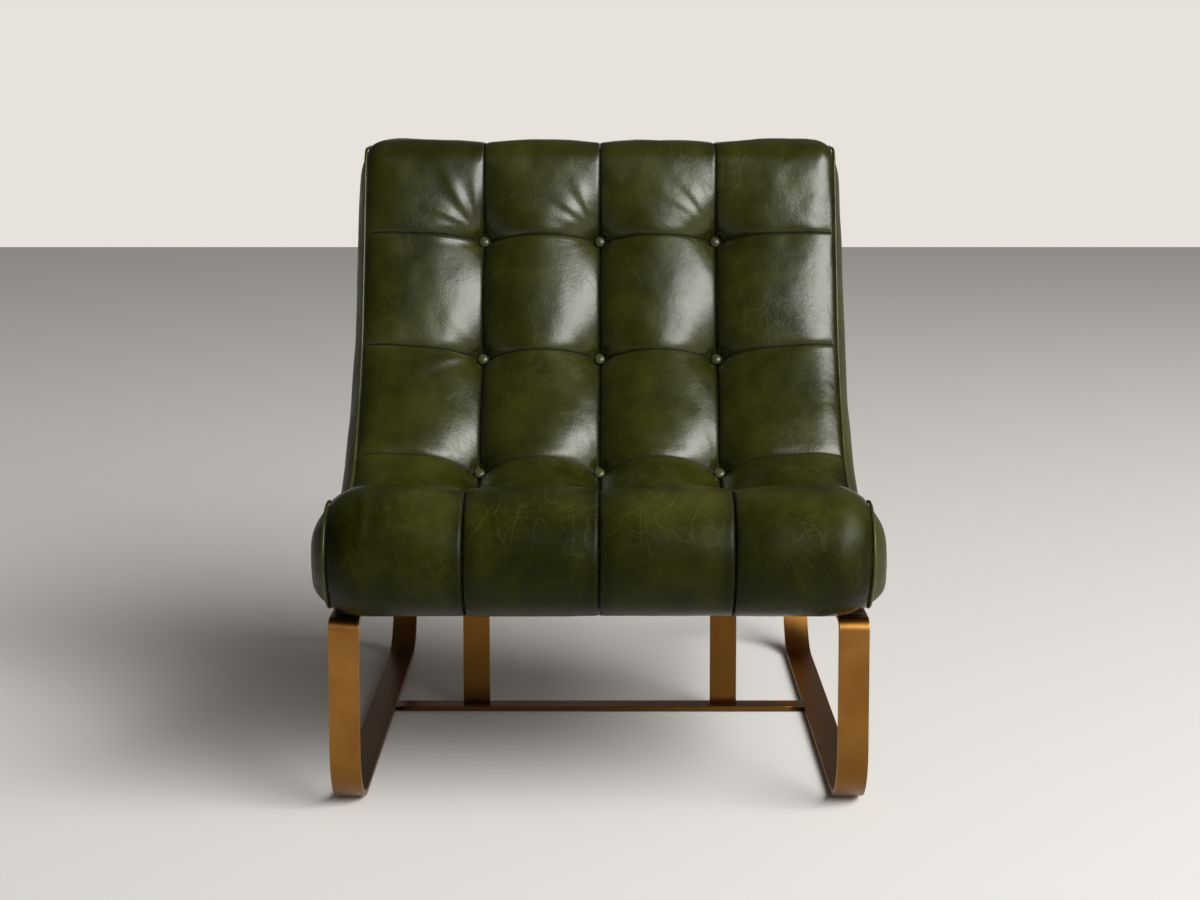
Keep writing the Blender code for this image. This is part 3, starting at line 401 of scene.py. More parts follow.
def swollen(points, held, slack):
    """How far the points of a coarse skin move as cloth under pressure, held in places and up to the cap."""
    skin = grid_object("skin_under_pressure", points)
    skin.vertex_groups.new(name="held").add(np.flatnonzero(held.ravel()).tolist(), 1.0, "REPLACE")
    loose = skin.vertex_groups.new(name="loose")
    for index, weight in enumerate(slack.ravel().tolist()):
        loose.add([index], weight, "REPLACE")
    cloth = skin.modifiers.new("cloth", "CLOTH")
    cloth.point_cache.frame_end = CLOTH_FRAMES
    settings = {"quality": 5, "mass": 0.25, "tension_stiffness": 12.0, "compression_stiffness": 12.0,
                "shear_stiffness": 6.0, "bending_stiffness": 1.0, "vertex_group_mass": "held",
                "use_pressure": True, "uniform_pressure_force": 4.0, "vertex_group_shrink": "loose",
                "shrink_min": 0.0, "shrink_max": -CLOTH_GROWTH}
    for key, value in settings.items():
        setattr(cloth.settings, key, value)
    cloth.settings.effector_weights.gravity = 0.0
    for step in range(1, CLOTH_FRAMES + 1):
        scene.frame_set(step)
    shape = skin.evaluated_get(bpy.context.evaluated_depsgraph_get()).to_mesh()
    moved = np.empty(len(shape.vertices) * 3, np.float32)
    shape.vertices.foreach_get("co", moved)
    bpy.data.objects.remove(skin)
    scene.frame_set(1)
    moved = moved.reshape(points.shape) - points
    size = np.linalg.norm(moved, axis=-1, keepdims=True)
    return moved * CLOTH_CAP * np.tanh(size / CLOTH_CAP) / np.maximum(size, 1e-9)


def read_grid(grid, row, column):
    """Values of a grid of points between its own rows and columns."""
    row, column = np.clip(row, 0, grid.shape[0] - 1.001), np.clip(column, 0, grid.shape[1] - 1.001)
    i, j = row.astype(int), column.astype(int)
    fi, fj = (row - i)[..., None], (column - j)[..., None]
    upper = grid[i, j] * (1 - fj) + grid[i, j + 1] * fj
    lower = grid[i + 1, j] * (1 - fj) + grid[i + 1, j + 1] * fj
    return upper * (1 - fi) + lower * fi


def settle_face():
    """How far the slack moves the whole face, over the lengths and the four columns."""
    shares = [np.linspace(a, b, CLOTH_ACROSS + 1)[:-1] for a, b in zip(SEAMS, SEAMS[1:])]
    shares = np.concatenate(shares + [[1.0]])
    ss = np.linspace(0.0, face_end, CLOTH_ALONG)
    s, share = np.meshgrid(ss, shares, indexing="ij")
    place, normal = crown.at(ss)
    half = half_width(place[:, 1])[:, None]
    column = (np.arange(len(shares)) // CLOTH_ACROSS).clip(0, 3)[None]
    left, right = np.take(SEAMS, column), np.take(SEAMS, column + 1)
    u = (share - left) / (right - left) * 2 - 1
    depth, above = pillow_depth(s, u, column > 0, column < 3)
    depth = depth - lattice(s, share * half, 0.018, 0.018, 41) * 0.0004
    held = (np.abs(u) > 0.999) | (np.abs(above) < 0.0032) | (s < roll_start) | (s > face_end - 0.01)
    x = share * half
    slack = np.zeros_like(x)
    for distance in to_buttons(s, x, half):
        slack = np.maximum(slack, fade(distance, CLOTH_SLACK_RADIUS))
    return swollen(to_points(x, depth, place, normal), held, slack)


# Materials

def new_material(name):
    """A new material, its node tree and its shader."""
    made = bpy.data.materials.new(name)
    made.use_nodes = True
    return made, made.node_tree, made.node_tree.nodes["Principled BSDF"]


def set_inputs(made, inputs):
    """Link each input of a node to a socket, or set it to a value."""
    for key, value in inputs.items():
        if isinstance(value, bpy.types.NodeSocket):
            made.id_data.links.new(value, made.inputs[key])
        else:
            made.inputs[key].default_value = value


def node(tree, kind, inputs=(), **settings):
    made = tree.nodes.new("ShaderNode" + kind)
    for key, value in settings.items():
        setattr(made, key, value)
    set_inputs(made, dict(inputs))
    return made


# The functions below build in the tree that their first socket belongs to

def noise(vector, scale, detail=3.0, roughness=0.5):
    inputs = {"Vector": vector, "Scale": scale, "Detail": detail, "Roughness": roughness}
    return node(vector.id_data, "TexNoise", inputs).outputs[0]


def math_node(operation, a, b=0.0, clamp=False):
    return node(a.id_data, "Math", {0: a, 1: b}, operation=operation, use_clamp=clamp).outputs[0]


def plus(a, b, clamp=False):
    return math_node("ADD", a, b, clamp)


def times(a, b, clamp=False):
    return math_node("MULTIPLY", a, b, clamp)


def span(value, low, high, to_low=0.0, to_high=1.0, kind="SMOOTHSTEP"):
    inputs = {"Value": value, "From Min": low, "From Max": high, "To Min": to_low, "To Max": to_high}
    return node(value.id_data, "MapRange", inputs, interpolation_type=kind).outputs[0]


def scaled(vector, scale):
    return node(vector.id_data, "Mapping", {"Vector": vector, "Scale": scale}).outputs[0]


def bump(height, strength, distance, under=None):
    """Relief from a height, laid over the relief under it."""
    inputs = {"Height": height, "Strength": strength, "Distance": distance}
    if under is not None:
        inputs["Normal"] = under
    return node(height.id_data, "Bump", inputs).outputs[0]


def mix_colour(factor, a, b):
    a, b = [c if isinstance(c, bpy.types.NodeSocket) else (*c, 1.0) for c in (a, b)]
    return node(factor.id_data, "Mix", {0: factor, 6: a, 7: b}, data_type="RGBA").outputs[2]


# What a material reads: a value that a mesh's points carry under a name, and the place on the object

def painted(tree, name):
    return node(tree, "Attribute", attribute_name=name).outputs["Fac"]


def object_place(tree):
    return node(tree, "TexCoord").outputs["Object"]


DARK, MID, LIGHT = (0.011, 0.0118, 0.0002), (0.037, 0.04, 0.0028), (0.1, 0.096, 0.018)
# Colours of the painted shade, partly also dye and dirt, and of the painted shadow in the seams and creases
DYE_AND_SHADE, SHADOW = (0.004, 0.0042, 0.0002), (0.0012, 0.0013, 0.0003)
PAINTED_LOW_SHADE, BARE_BRASS = (0.1, 0.04, 0.006), (0.55, 0.3, 0.09)
# The leather's rubs: how far each set is turned, the size of its noise and the breadth of its lines
RUBS = ((0.8, (0.15, 0.02, 0.02), 0.016), (-0.6, (0.11, 0.016, 0.016), 0.012),
        (1.4, (0.13, 0.03, 0.03), 0.03), (0.45, (0.09, 0.012, 0.012), 0.01))


def rub_lines(where):
    """Long faint lines in a few directions, broken up into patches."""
    rubs = None
    for turn, stretch, breadth in RUBS:
        inputs = {"Vector": where, "Location": (turn, turn, turn), "Rotation": (0.1, turn, 0.5 * turn),
                  "Scale": stretch}
        place = node(where.id_data, "Mapping", inputs, vector_type="TEXTURE").outputs[0]
        level = math_node("ABSOLUTE", math_node("SUBTRACT", noise(place, 1.0, 1.0, 0.3), 0.5))
        patches = span(noise(where, 9.0, 3.0), 0.46, 0.64)
        line = times(span(level, breadth, 0.0), patches)
        rubs = line if rubs is None else math_node("MAXIMUM", rubs, line)
    return rubs


def leather_material(name, dark, mid, light, gloss=1.0, grain=1.0, specular=0.5, dull_below=False):
    """Waxed pull-up leather: mottled, paler where it is stretched, with faint rubs, a fine grain and painted
    shade.
    """
    made, tree, shader = new_material(name)
    where = object_place(tree)
    clouds = noise(where, 6.5, 4.0, 0.55)
    blotches = noise(where, 24.0, 5.0, 0.6)
    specks = noise(where, 150.0, 3.0, 0.6)
    tone = plus(times(clouds, 0.75), times(blotches, 0.45))
    tone = plus(tone, times(specks, 0.1))
    rubs, rubbed, sewn = rub_lines(where), painted(tree, "rubbed"), painted(tree, "sewn")
    stretched = times(painted(tree, "wear"), span(blotches, 0.3, 0.65, 0.35, 1.0), True)
    worn = times(times(rubbed, span(clouds, 0.42, 0.7)), 0.34)
    shown = times(rubs, plus(times(rubbed, 0.24), 0.1))
    colour = mix_colour(span(tone, 0.4, 0.92), dark, mid)
    # The last two mixes are painted shade: round the buttons, beside the seams and under the roll, and in the
    # seams and creases
    for factor, over in ((stretched, light), (worn, light), (shown, light), (painted(tree, "shade"), DYE_AND_SHADE),
                         (sewn, SHADOW)):
        colour = mix_colour(factor, colour, over)
    rough = span(blotches, 0.3, 0.7, 0.215 / gloss, 0.285 / gloss)
    for value, share in ((rubs, 0.12), (sewn, 0.5), (rubbed, 0.09)):
        rough = plus(rough, times(value, share), True)
    if dull_below:
        specular = span(painted(tree, "matt"), 0.0, 1.0, specular, 0.2 * specular, "LINEAR")
    cells = node(tree, "TexVoronoi", {"Vector": where, "Scale": 620.0}, feature="SMOOTH_F1")
    pores = noise(where, 1500.0, 2.0)
    fine = plus(cells.outputs["Distance"], times(pores, 0.5))
    relief = bump(fine, 0.16 * grain, 0.0006)
    relief = bump(noise(where, 85.0, 5.0, 0.62), 0.22, 0.0018, relief)
    relief = bump(rubs, 0.12, 0.0004, relief)
    set_inputs(shader, {"Base Color": colour, "Roughness": rough, "Specular IOR Level": specular,
                        "Specular Tint": (1.0, 1.0, 0.94, 1.0), "Normal": relief})
    return made


def brass_material(name, dark, bright):
    """Aged brass, brushed along its length, with cloudy tarnish, and painted shade that darkens it near the
    floor.
    """
    made, tree, shader = new_material(name)
    where = object_place(tree)
    run = node(tree, "UVMap", uv_map="run").outputs[0]
    streak = noise(scaled(run, (14.0, 2600.0, 1.0)), 1.0, 3.0, 0.6)
    coarse = noise(scaled(run, (5.0, 420.0, 1.0)), 1.0, 2.0)
    cloud = noise(where, 10.0, 5.0, 0.6)
    tone = plus(times(cloud, 0.9), times(streak, 0.25))
    colour = mix_colour(span(tone, 0.4, 0.8), dark, bright)
    height = node(tree, "SeparateXYZ", {0: where}).outputs[2]
    # Painted shade: the brass gets darker towards the floor
    colour = mix_colour(span(height, 0.2, 0.01, 0.0, 0.72), colour, PAINTED_LOW_SHADE)
    colour = mix_colour(times(painted(tree, "wear"), 0.4), colour, BARE_BRASS)
    rough = span(plus(times(cloud, 0.5), times(coarse, 0.5)), 0.3, 0.7, 0.3, 0.42, "LINEAR")
    set_inputs(shader, {"Base Color": colour, "Metallic": 1.0, "Anisotropic": 0.35, "Roughness": rough,
                        "Normal": bump(plus(streak, coarse), 0.1, 0.0002)})
    return made


def plain_material(name, dark, light, roughness, scale=(60.0, 60.0, 60.0), relief=0.15, metallic=0.0,
                   depth=0.0005):
    """A simple worked material: two tones of noise at its own scale along each axis, with bump to match."""
    made, tree, shader = new_material(name)
    grain = noise(scaled(object_place(tree), scale), 1.0, 5.0, 0.6)
    colour = mix_colour(span(grain, 0.32, 0.68), dark, light)
    rough = span(grain, 0.3, 0.7, roughness - 0.06, roughness + 0.06, "LINEAR")
    set_inputs(shader, {"Base Color": colour, "Roughness": rough, "Metallic": metallic,
                        "Normal": bump(grain, relief, depth)})
    return made


green = leather_material("green_leather_hide", DARK, MID, LIGHT, dull_below=True)
side_green = leather_material("side_leather_hide", DARK, MID, LIGHT, 0.62, 1.0, 0.22)
back_green = leather_material("back_leather_hide", DARK, MID, LIGHT, 0.75, 1.4, 0.35)
button_green = leather_material("button_leather_hide", (0.036, 0.04, 0.011), (0.08, 0.085, 0.032),
                                (0.13, 0.13, 0.055), 1.05, 0.8)
welt_green = leather_material("welt_leather_hide", (0.009, 0.011, 0.001), (0.03, 0.034, 0.004), LIGHT,
                              0.8, 1.0, 0.35)
brass = brass_material("aged_brass_brushed", (0.25, 0.105, 0.02), (0.44, 0.2, 0.046))
# A darker copy of the brass: painted shade for the uprights and the cross bar under the seat
shaded_brass = brass_material("brass_painted_shade", (0.12, 0.047, 0.005), (0.22, 0.09, 0.013))
rubber = plain_material("black_spacer_rubber", (0.006,) * 3, (0.014,) * 3, 0.65)
nylon = plain_material("pale_glide_nylon", (0.5, 0.46, 0.37), (0.66, 0.61, 0.5), 0.5, (200.0,) * 3, 0.1)
zinc = plain_material("zinc_plate", (0.34, 0.34, 0.35), (0.55, 0.55, 0.56), 0.35, (400.0,) * 3, 0.05, 1.0)
birch = plain_material("birch_ply", (0.42, 0.28, 0.15), (0.62, 0.45, 0.26), 0.6, (400.0, 12.0, 12.0), 0.2)
beech = plain_material("beech_wood", (0.4, 0.23, 0.11), (0.58, 0.37, 0.2), 0.55, (8.0, 160.0, 160.0), 0.2)
cream = plain_material("cut_foam", (0.62, 0.54, 0.34), (0.78, 0.71, 0.5), 0.9, (500.0,) * 3, 0.5)
fluff = plain_material("wadding_fleece", (0.7, 0.7, 0.68), (0.84, 0.84, 0.82), 0.95, (180.0,) * 3, 0.8,
                       0.0, 0.002)
felt = plain_material("felt_fibre", (0.1, 0.09, 0.085), (0.22, 0.21, 0.2), 0.95, (300.0,) * 3, 0.6)
jute = plain_material("jute_web", (0.3, 0.2, 0.09), (0.5, 0.37, 0.19), 0.9, (40.0, 700.0, 700.0), 0.6)
spring = plain_material("spring_wire", (0.2, 0.2, 0.21), (0.38, 0.38, 0.39), 0.4, (300.0,) * 3, 0.05, 1.0)
cloth = plain_material("dust_cloth_fibre", (0.008,) * 3, (0.018,) * 3, 0.9, (900.0,) * 3, 0.5)


# Leather columns

def slack_mask(s, u, half):
    """Where the leather is free to move: nowhere along its seams, its creases and its buttons."""
    free = smooth((1 - np.abs(u)) * half / 2 / 0.012) * smooth((np.abs(near_row(s)[1]) - 0.002) / 0.012)
    return (free * smooth((s - roll_start) / 0.03) * smooth((face_end - s) / 0.03))[..., None]


def wear_of(column, s, u, half):
    """Where the leather is stretched pale: along its seams and creases, and most where they meet."""
    to_side = np.minimum(u + 1, 1 - u) / 2 * column_width(column, half)
    to_row = np.abs(near_row(s)[1])
    at_edges = fade(to_side, 0.009, 1.5) * 0.06 + fade(to_row, 0.009, 1.5) * 0.05
    corner = fade(np.hypot(to_side, to_row), 0.022, 1) * 0.4
    return np.clip(at_edges + corner, 0, 1)


def shade_of(s, x, half):
    """Where the leather is painted darker: painted shade, partly also dye and dirt, round the buttons and
    beside the seams, and painted shade alone under the roll.
    """
    to_seam = np.abs(x[..., None] - np.array(SEAMS) * half[..., None]).min(-1)
    shade = 0.72 * fade(to_seam, 0.015) + 0.55 * smooth((roll_crest - 0.045 - s) / 0.06)
    for distance in to_buttons(s, x, half):
        shade = np.maximum(shade, fade(distance, 0.024))
    return np.clip(shade, 0, 1) * 0.75


def sewn_of(column, s, u, half):
    """Where the leather turns in at a seam or a crease and no light reaches."""
    width = column_width(column, half)
    seam = fade((u + 1) / 2 * width, 0.0013) * (column > 0)
    seam = np.maximum(seam, fade((1 - u) / 2 * width, 0.0013) * (column < 3))
    above = near_row(s)[1]
    crease = fade(above, np.where(above > 0, 0.0016, 0.0011))
    return np.clip(np.maximum(seam, crease) * 0.95, 0, 1)


slack_face = settle_face()
for column, name in enumerate(("far_left", "mid_left", "mid_right", "far_right")):
    s, u, x, half, place, normal = column_grid(column)
    depth = face_depth(column, s, u, x, half)
    points = to_points(x, depth, place, normal)
    moved = read_grid(slack_face, s / face_end * (CLOTH_ALONG - 1), (column + (u + 1) / 2) * CLOTH_ACROSS)
    points += moved * slack_mask(s, u, half)
    # The shade attribute carries painted shade, partly also dye and dirt
    piece = grid_object("column_" + name, points, attributes={
        "wear": wear_of(column, s, u, half), "sewn": sewn_of(column, s, u, half),
        "rubbed": fade(s - roll_crest + 0.02, 0.1), "shade": shade_of(s, x, half),
        "matt": smooth((roll_crest - 0.025 - s) / 0.055)})
    thicken(piece, LEATHER)
    finish(piece, green, "green_leather", "leather_column_" + name)


# Soft cores under the leather

WADDING = 0.0095


def core(name, spots):
    """The foam and wadding behind the leather, a little under it all over."""
    strips = []
    for column in range(4):
        us = np.linspace(-1, 1, 9)[(1 if column else 0):]
        s, u, x, _, place, normal = column_places(column, spots, us)
        depth = pillow_depth(s, u, column > 0, column < 3)[0] + WADDING
        strips.append(to_points(x.clip(-FRAME_HALF, FRAME_HALF), depth, place, normal))
    outer = np.concatenate(strips, 1)
    thickness = np.interp(spots, [roll_end, rows[0], rows[-1], crest_start, crest_end, face_end],
                          [0.045, 0.06, 0.06, 0.032, 0.032, 0.012])
    thickness = np.repeat(thickness[:, None], outer.shape[1], 1)
    inner = to_points(outer[..., 0], thickness, *crown.at(spots))
    return closed_grid(name, np.concatenate([outer, inner[:, ::-1]], 1))


fold_line = rows[1]
for name, node_name, first, last in (("seat_core", "seat_foam", roll_start + 0.02, fold_line - 0.001),
                                     ("back_core", "back_foam", fold_line + 0.001, face_end - 0.004)):
    piece = core(name, np.linspace(first, last, 90))
    finish(piece, cream, "foam", node_name)


# Buttons

def button(name, row, seam):
    """A leather-covered button on its seat, domed, with its leather gathered round the rim."""
    place, normal = crown.at(np.array([rows[ROW_COUNT - row]]))
    place, normal = place[0], normal[0]
    rings, sides = 9, 30
    turn = np.linspace(0, 2 * math.pi, sides, endpoint=False)
    angles = np.linspace(0.02, math.pi / 2, rings)
    radius = np.concatenate([BUTTON_RADIUS * np.sin(angles), [BUTTON_RADIUS * 0.97, BUTTON_RADIUS * 0.8]])
    height = np.concatenate([BUTTON_EDGE + (BUTTON_HEIGHT - BUTTON_EDGE) * np.cos(angles), [0.0005, 0.0]])
    height += 0.0012 * (height > 0.0004)
    seed = row * 10 + seam
    gather = lattice(turn[None, :] * 6 / math.pi, np.full((1, sides), float(seed)), 1.0, 1.0, seed)
    pull = smooth((radius / BUTTON_RADIUS - 0.55) / 0.45)[:, None]
    r = radius[:, None] * (1 + 0.03 * gather * pull)
    points = np.stack([r * np.cos(turn), r * np.sin(turn), np.repeat(height[:, None], sides, 1)], -1)
    out = Vector((0.0, -normal[0], -normal[1]))
    spot = place + normal * (BUTTON_SINK - FIT)
    across = SEAMS[seam] * half_width(place[1])
    turned = Vector((0, 0, 1)).rotation_difference(out).to_matrix()
    points = points @ np.array(turned).T + np.array((across, spot[0] - MIDDLE, spot[1]))
    return closed_grid(name, points, attributes={"wear": np.repeat(0.35 * pull, sides, 1)})


for row in range(1, ROW_COUNT + 1):
    for seam, side in enumerate(("left", "middle", "right"), 1):
        piece = button("button_row%d_%s" % (row, side), row, seam)
        finish(piece, button_green, "button_leather", "tuft_button_row%d_%s" % (row, side))


# Welts and side panels

def edge_line(spots, under, dip=1.0):
    """Places of the face's outer edge at lengths, a distance under the leather, and the half widths there."""
    place, normal = crown.at(spots)
    level = np.interp(spots, spots + edge_climb(spots), spots)
    depth = side_depths(spots)[1] + dip * CREASE_EDGE * near_row(level)[0]
    return place + normal * (depth + under)[:, None], half_width(place[:, 1])


def run_length(line):
    """Length along a line of points, up to each of them."""
    return np.concatenate([[0], np.cumsum(np.linalg.norm(np.diff(line, axis=0), axis=1))])


def sweep(name, centre, radius, wobble):
    """A round cord along a line of points, with its ends closed."""
    tangent = np.gradient(centre, axis=0)
    tangent /= np.linalg.norm(tangent, axis=1)[:, None]
    first = np.cross(tangent, SIDEWAYS)
    first /= np.linalg.norm(first, axis=1)[:, None]
    second = np.cross(tangent, first)
    turn = np.linspace(0, 2 * math.pi, CORD_SIDES, endpoint=False)
    length = run_length(centre)
    r = radius * (1 + wobble * lattice(length, np.zeros_like(length), 0.008, 1.0, 12))[:, None, None]
    ring = first[:, None] * np.cos(turn)[None, :, None] + second[:, None] * np.sin(turn)[None, :, None]
    points = centre[:, None] + ring * r
    return closed_grid(name, points, attributes={"wear": np.full(points.shape[:2], 0.35)})


def boxing(sign):
    """The stuffed side panel from the face's edge to the rear line, as a grid of points."""
    spots = np.concatenate([np.linspace(roll_start, roll_end, 60)[:-1],
                            np.linspace(roll_end, crest_start, 130)[:-1],
                            np.linspace(crest_start, crest_end, 34)])
    shares = (spots - spots[0]) / (spots[-1] - spots[0])
    rear_run = rear.length - PANEL_STOP
    rear_share = np.interp(shares, (0.0, 0.13, 0.26, 0.36, 0.5, 0.64, 0.84, 1.0),
                           (0.0, 0.03, 0.08, 0.17, 0.34, 0.58, 0.86, 1.0))
    front, x_front = edge_line(spots, LEATHER + FIT)
    length = rear.length - rear_share * rear_run
    back, back_normal = rear.at(length)
    wrap = np.where(length < tail, side_depths(crest_end + length)[1],
                    side_depths(np.maximum(0.0, PANEL_LIFT_RUN - rear_share * rear_run))[1])
    back = back + back_normal * (LEATHER + 2 * FIT + wrap)[:, None]
    part = graded(1.0, 0.045, (0.0, 0.006, 0.016, 0.032, 0.055, 0.085))
    place = front[:, None] + (back - front)[:, None] * part[None, :, None]
    edge = x_front[:, None] + (half_width(back[:, 1]) - x_front)[:, None] * part[None]
    rim = np.concatenate([place[:, 0], place[::-1, -1]])
    runs = np.roll(rim, -1, axis=0) - rim
    flat = place.reshape(-1, 2)
    reach = np.full(len(flat), np.inf)
    for start, run in zip(rim, runs):
        size = run @ run
        t = np.clip((flat - start) @ run / size, 0, 1) if size > 1e-12 else np.zeros(len(flat))
        reach = np.minimum(reach, np.hypot(*(start + t[:, None] * run - flat).T))
    reach = reach.reshape(edge.shape)
    # The stuffing is full at a shorter distance from the rim low down than it is up the back
    full_from = np.interp(place[..., 1], (UNDERSIDE, ROLL_CORNER_HEIGHT), (0.025, 0.07))
    swell = (BODY_HALF - edge) * (1 - (1 - np.clip(reach / full_from, 0, 1)) ** 2.0)
    slack = lattice(place[..., 0] + sign, place[..., 1], 0.055, 0.045, 21) * 0.0011
    slant = place[..., 0] * 0.8 + place[..., 1] * 0.6
    cross = place[..., 1] * 0.8 - place[..., 0] * 0.6
    pulls = (np.abs(lattice(slant, cross + sign, 0.012, 0.09, 22)) - 0.4) * 0.0009
    near_edge = fade(reach - 0.016, 0.014)
    x = edge + swell + (slack + pulls * near_edge) * smooth(reach / 0.02) - lip(reach, 0.004, 0.0015)
    x = np.minimum(x, BODY_HALF + PANEL_PROUD)
    points = np.stack([sign * x, place[..., 0] - MIDDLE, place[..., 1]], -1)
    return points, reach


for side, sign in SIDES:
    spots = np.linspace(roll_start * 0.2, face_end, 420)
    line, x = edge_line(spots, LEATHER / 2, 0.35)
    centre = np.stack([sign * (x + FIT + WELT_RADIUS), line[:, 0] - MIDDLE, line[:, 1]], -1)
    piece = sweep("piping_" + side, centre, WELT_RADIUS, wobble=0.05)
    finish(piece, welt_green, "welt_leather", "welt_" + side)
    points, reach = boxing(sign)
    if sign < 0:
        points, reach = points[:, ::-1], reach[:, ::-1]
    wear = np.clip(fade(reach, 0.006, 1.5) * 0.6, 0, 1)
    piece = thicken(grid_object("side_cover_" + side, points, attributes={"wear": wear}), LEATHER)
    finish(piece, side_green, "side_leather", "side_panel_" + side)


# Outer back and dust cover

def outer_back():
    """The outer back's leather as a grid of points, and how worn it is along its hems."""
    spots = tail + FIT + graded(rear.spans[0][1] - tail - FIT, 0.009)
    place, normal = rear.at(spots)
    half = half_width(place[:, 1])
    us = graded(2.0, 0.026, (0.0, 0.0015, 0.004, 0.008, 0.014, 0.022)) - 1
    s, u = np.meshgrid(spots, us, indexing="ij")
    x = u * half[:, None]
    to_side = (1 - np.abs(u)) * half[:, None]
    to_top = s - spots[0]
    swell = 0.0018 * smooth(to_side / 0.09) * smooth(to_top / 0.05) * smooth((spots[-1] - s) / 0.08)
    slack = lattice(x, s, 0.08, 0.11, 31) * 0.001 + lattice(x, s, 0.03, 0.05, 32) * 0.0003
    sink = 0.0004 + lip(to_side, 0.005, 0.0028) + lip(to_top, 0.006, 0.003)
    depth = sink - swell - slack * smooth(to_side / 0.03) * smooth(to_top / 0.03)
    return to_points(x, depth, place, normal), fade(np.minimum(to_side, to_top), 0.006, 1.5) * 0.6


points, wear = outer_back()
piece = thicken(grid_object("back_cover", points, attributes={"wear": wear}), LEATHER)
finish(piece, back_green, "back_leather", "outer_back")


def under_cover():
    """The cloth under the seat: stretched over the frame's underside, with slight sags between its edges."""
    low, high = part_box("dust_cover")
    xs = low.x + (high.x - low.x) * graded(1.0, 0.022, (0.0, 0.002, 0.008, 0.02))
    ys = low.y + (high.y - low.y) * graded(1.0, 0.03, (0.0, 0.003, 0.01, 0.03))
    y, x = np.meshgrid(ys, xs, indexing="ij")
    inside = np.minimum(np.minimum(x - low.x, high.x - x), np.minimum(y - low.y, high.y - y))
    z = high.z - 0.0002 - 0.0003 * smooth(inside / 0.05) * (1 + lattice(x, y, 0.06, 0.05, 51))
    return np.stack([x, y, z], -1)


points = under_cover()
piece = thicken(grid_object("under_cloth", points), CLOTH_THICKNESS, 1.0)
finish(piece, cloth, "dust_cloth", "dust_cover")


# Flat bar

BAR_EDGE, BAR_EDGE_STEPS, BAR_WEAR = 0.0009, 3, 0.0012
BEND_STEPS, UPRIGHT_STEPS, STRAIGHT_STEPS, CROSSBAR_STEPS, LONGEST_STEP = 20, 10, 8, 20, 0.03


def bar_section(width, thickness):
    """Outline of the bar's section with rounded corners, across its width and down from its outer face."""
    outline = []
    near, far = width / 2 - BAR_EDGE, thickness - BAR_EDGE
    for cx, cz, start in ((near, BAR_EDGE, -90), (near, far, 0), (-near, far, 90), (-near, BAR_EDGE, 180)):
        for step in range(BAR_EDGE_STEPS + 1):
            angle = math.radians(start + 90 * step / BAR_EDGE_STEPS)
            outline.append((cx + BAR_EDGE * math.cos(angle), cz + BAR_EDGE * math.sin(angle)))
    return np.array(outline)


def bar(name, place, inward, across, section, closed):
    """A flat bar along a line of points, with its section laid across and inward."""
    points = place[:, None] + inward[:, None] * section[None, :, 1:] + across * section[None, :, :1]
    if closed:
        points = np.concatenate([points, points[:1]])
        place = np.concatenate([place, place[:1]])
    uv = np.stack(np.meshgrid(run_length(place), run_length(section), indexing="ij"), -1)
    to_side = np.abs(section[:, 0]).max() - np.abs(section[:, 0])
    to_face = np.minimum(section[:, 1], section[:, 1].max() - section[:, 1])
    edge = np.clip(1 - to_side / BAR_WEAR, 0, 1) * np.clip(1 - to_face / BAR_WEAR, 0, 1)
    wear = np.repeat(edge[None], len(points), 0)
    piece = closed_grid(name, points, closed, uv=uv, attributes={"wear": wear})
    flats = piece.modifiers.new("flats", "WEIGHTED_NORMAL")
    flats.keep_sharp = True
    return piece


def rounded_loop(low, high, front, back, foot, top):
    """Side-view loop of a hoop's outer face and the directions that point into it."""
    place, inward = [], []
    corners = ((front, low, foot), (back, low, foot), (back, high, top), (front, high, top))
    for turn, (y, z, radius) in enumerate(corners):
        cy = y + math.copysign(radius, (front + back) / 2 - y)
        cz = z + math.copysign(radius, (low + high) / 2 - z)
        for step in range(BEND_STEPS + 1):
            angle = math.pi + (turn + step / BEND_STEPS) * math.pi / 2
            place.append((0.0, cy + radius * math.cos(angle), cz + radius * math.sin(angle)))
            inward.append((0.0, -math.cos(angle), -math.sin(angle)))
    place, inward = np.array(place), np.array(inward)
    full, full_in = [], []
    for a, b, ia, ib in zip(place, np.roll(place, -1, 0), inward, np.roll(inward, -1, 0)):
        count = max(1, int(np.linalg.norm(b - a) / LONGEST_STEP))
        for step in range(count):
            full.append(a + (b - a) * step / count)
            mixed = ia + (ib - ia) * step / count
            full_in.append(mixed / np.linalg.norm(mixed))
    return np.array(full), np.array(full_in)


def upright_line(low, high):
    """The outer face of an upright, up and then forward under the seat, and the directions into it."""
    rise = high.z - UPRIGHT_RADIUS - low.z
    line = [(0.0, high.y, low.z + rise * step / STRAIGHT_STEPS) for step in range(STRAIGHT_STEPS)]
    inward = [(0.0, -1.0, 0.0)] * len(line)
    for step in range(UPRIGHT_STEPS + 1):
        angle = math.pi / 2 * step / UPRIGHT_STEPS
        line.append((0.0, high.y - UPRIGHT_RADIUS + UPRIGHT_RADIUS * math.cos(angle),
                     high.z - UPRIGHT_RADIUS + UPRIGHT_RADIUS * math.sin(angle)))
        inward.append((0.0, -math.cos(angle), -math.sin(angle)))
    line.append((0.0, low.y, high.z))
    inward.append((0.0, 0.0, -1.0))
    return np.array(line) + SIDEWAYS * (low.x + high.x) / 2, np.array(inward)


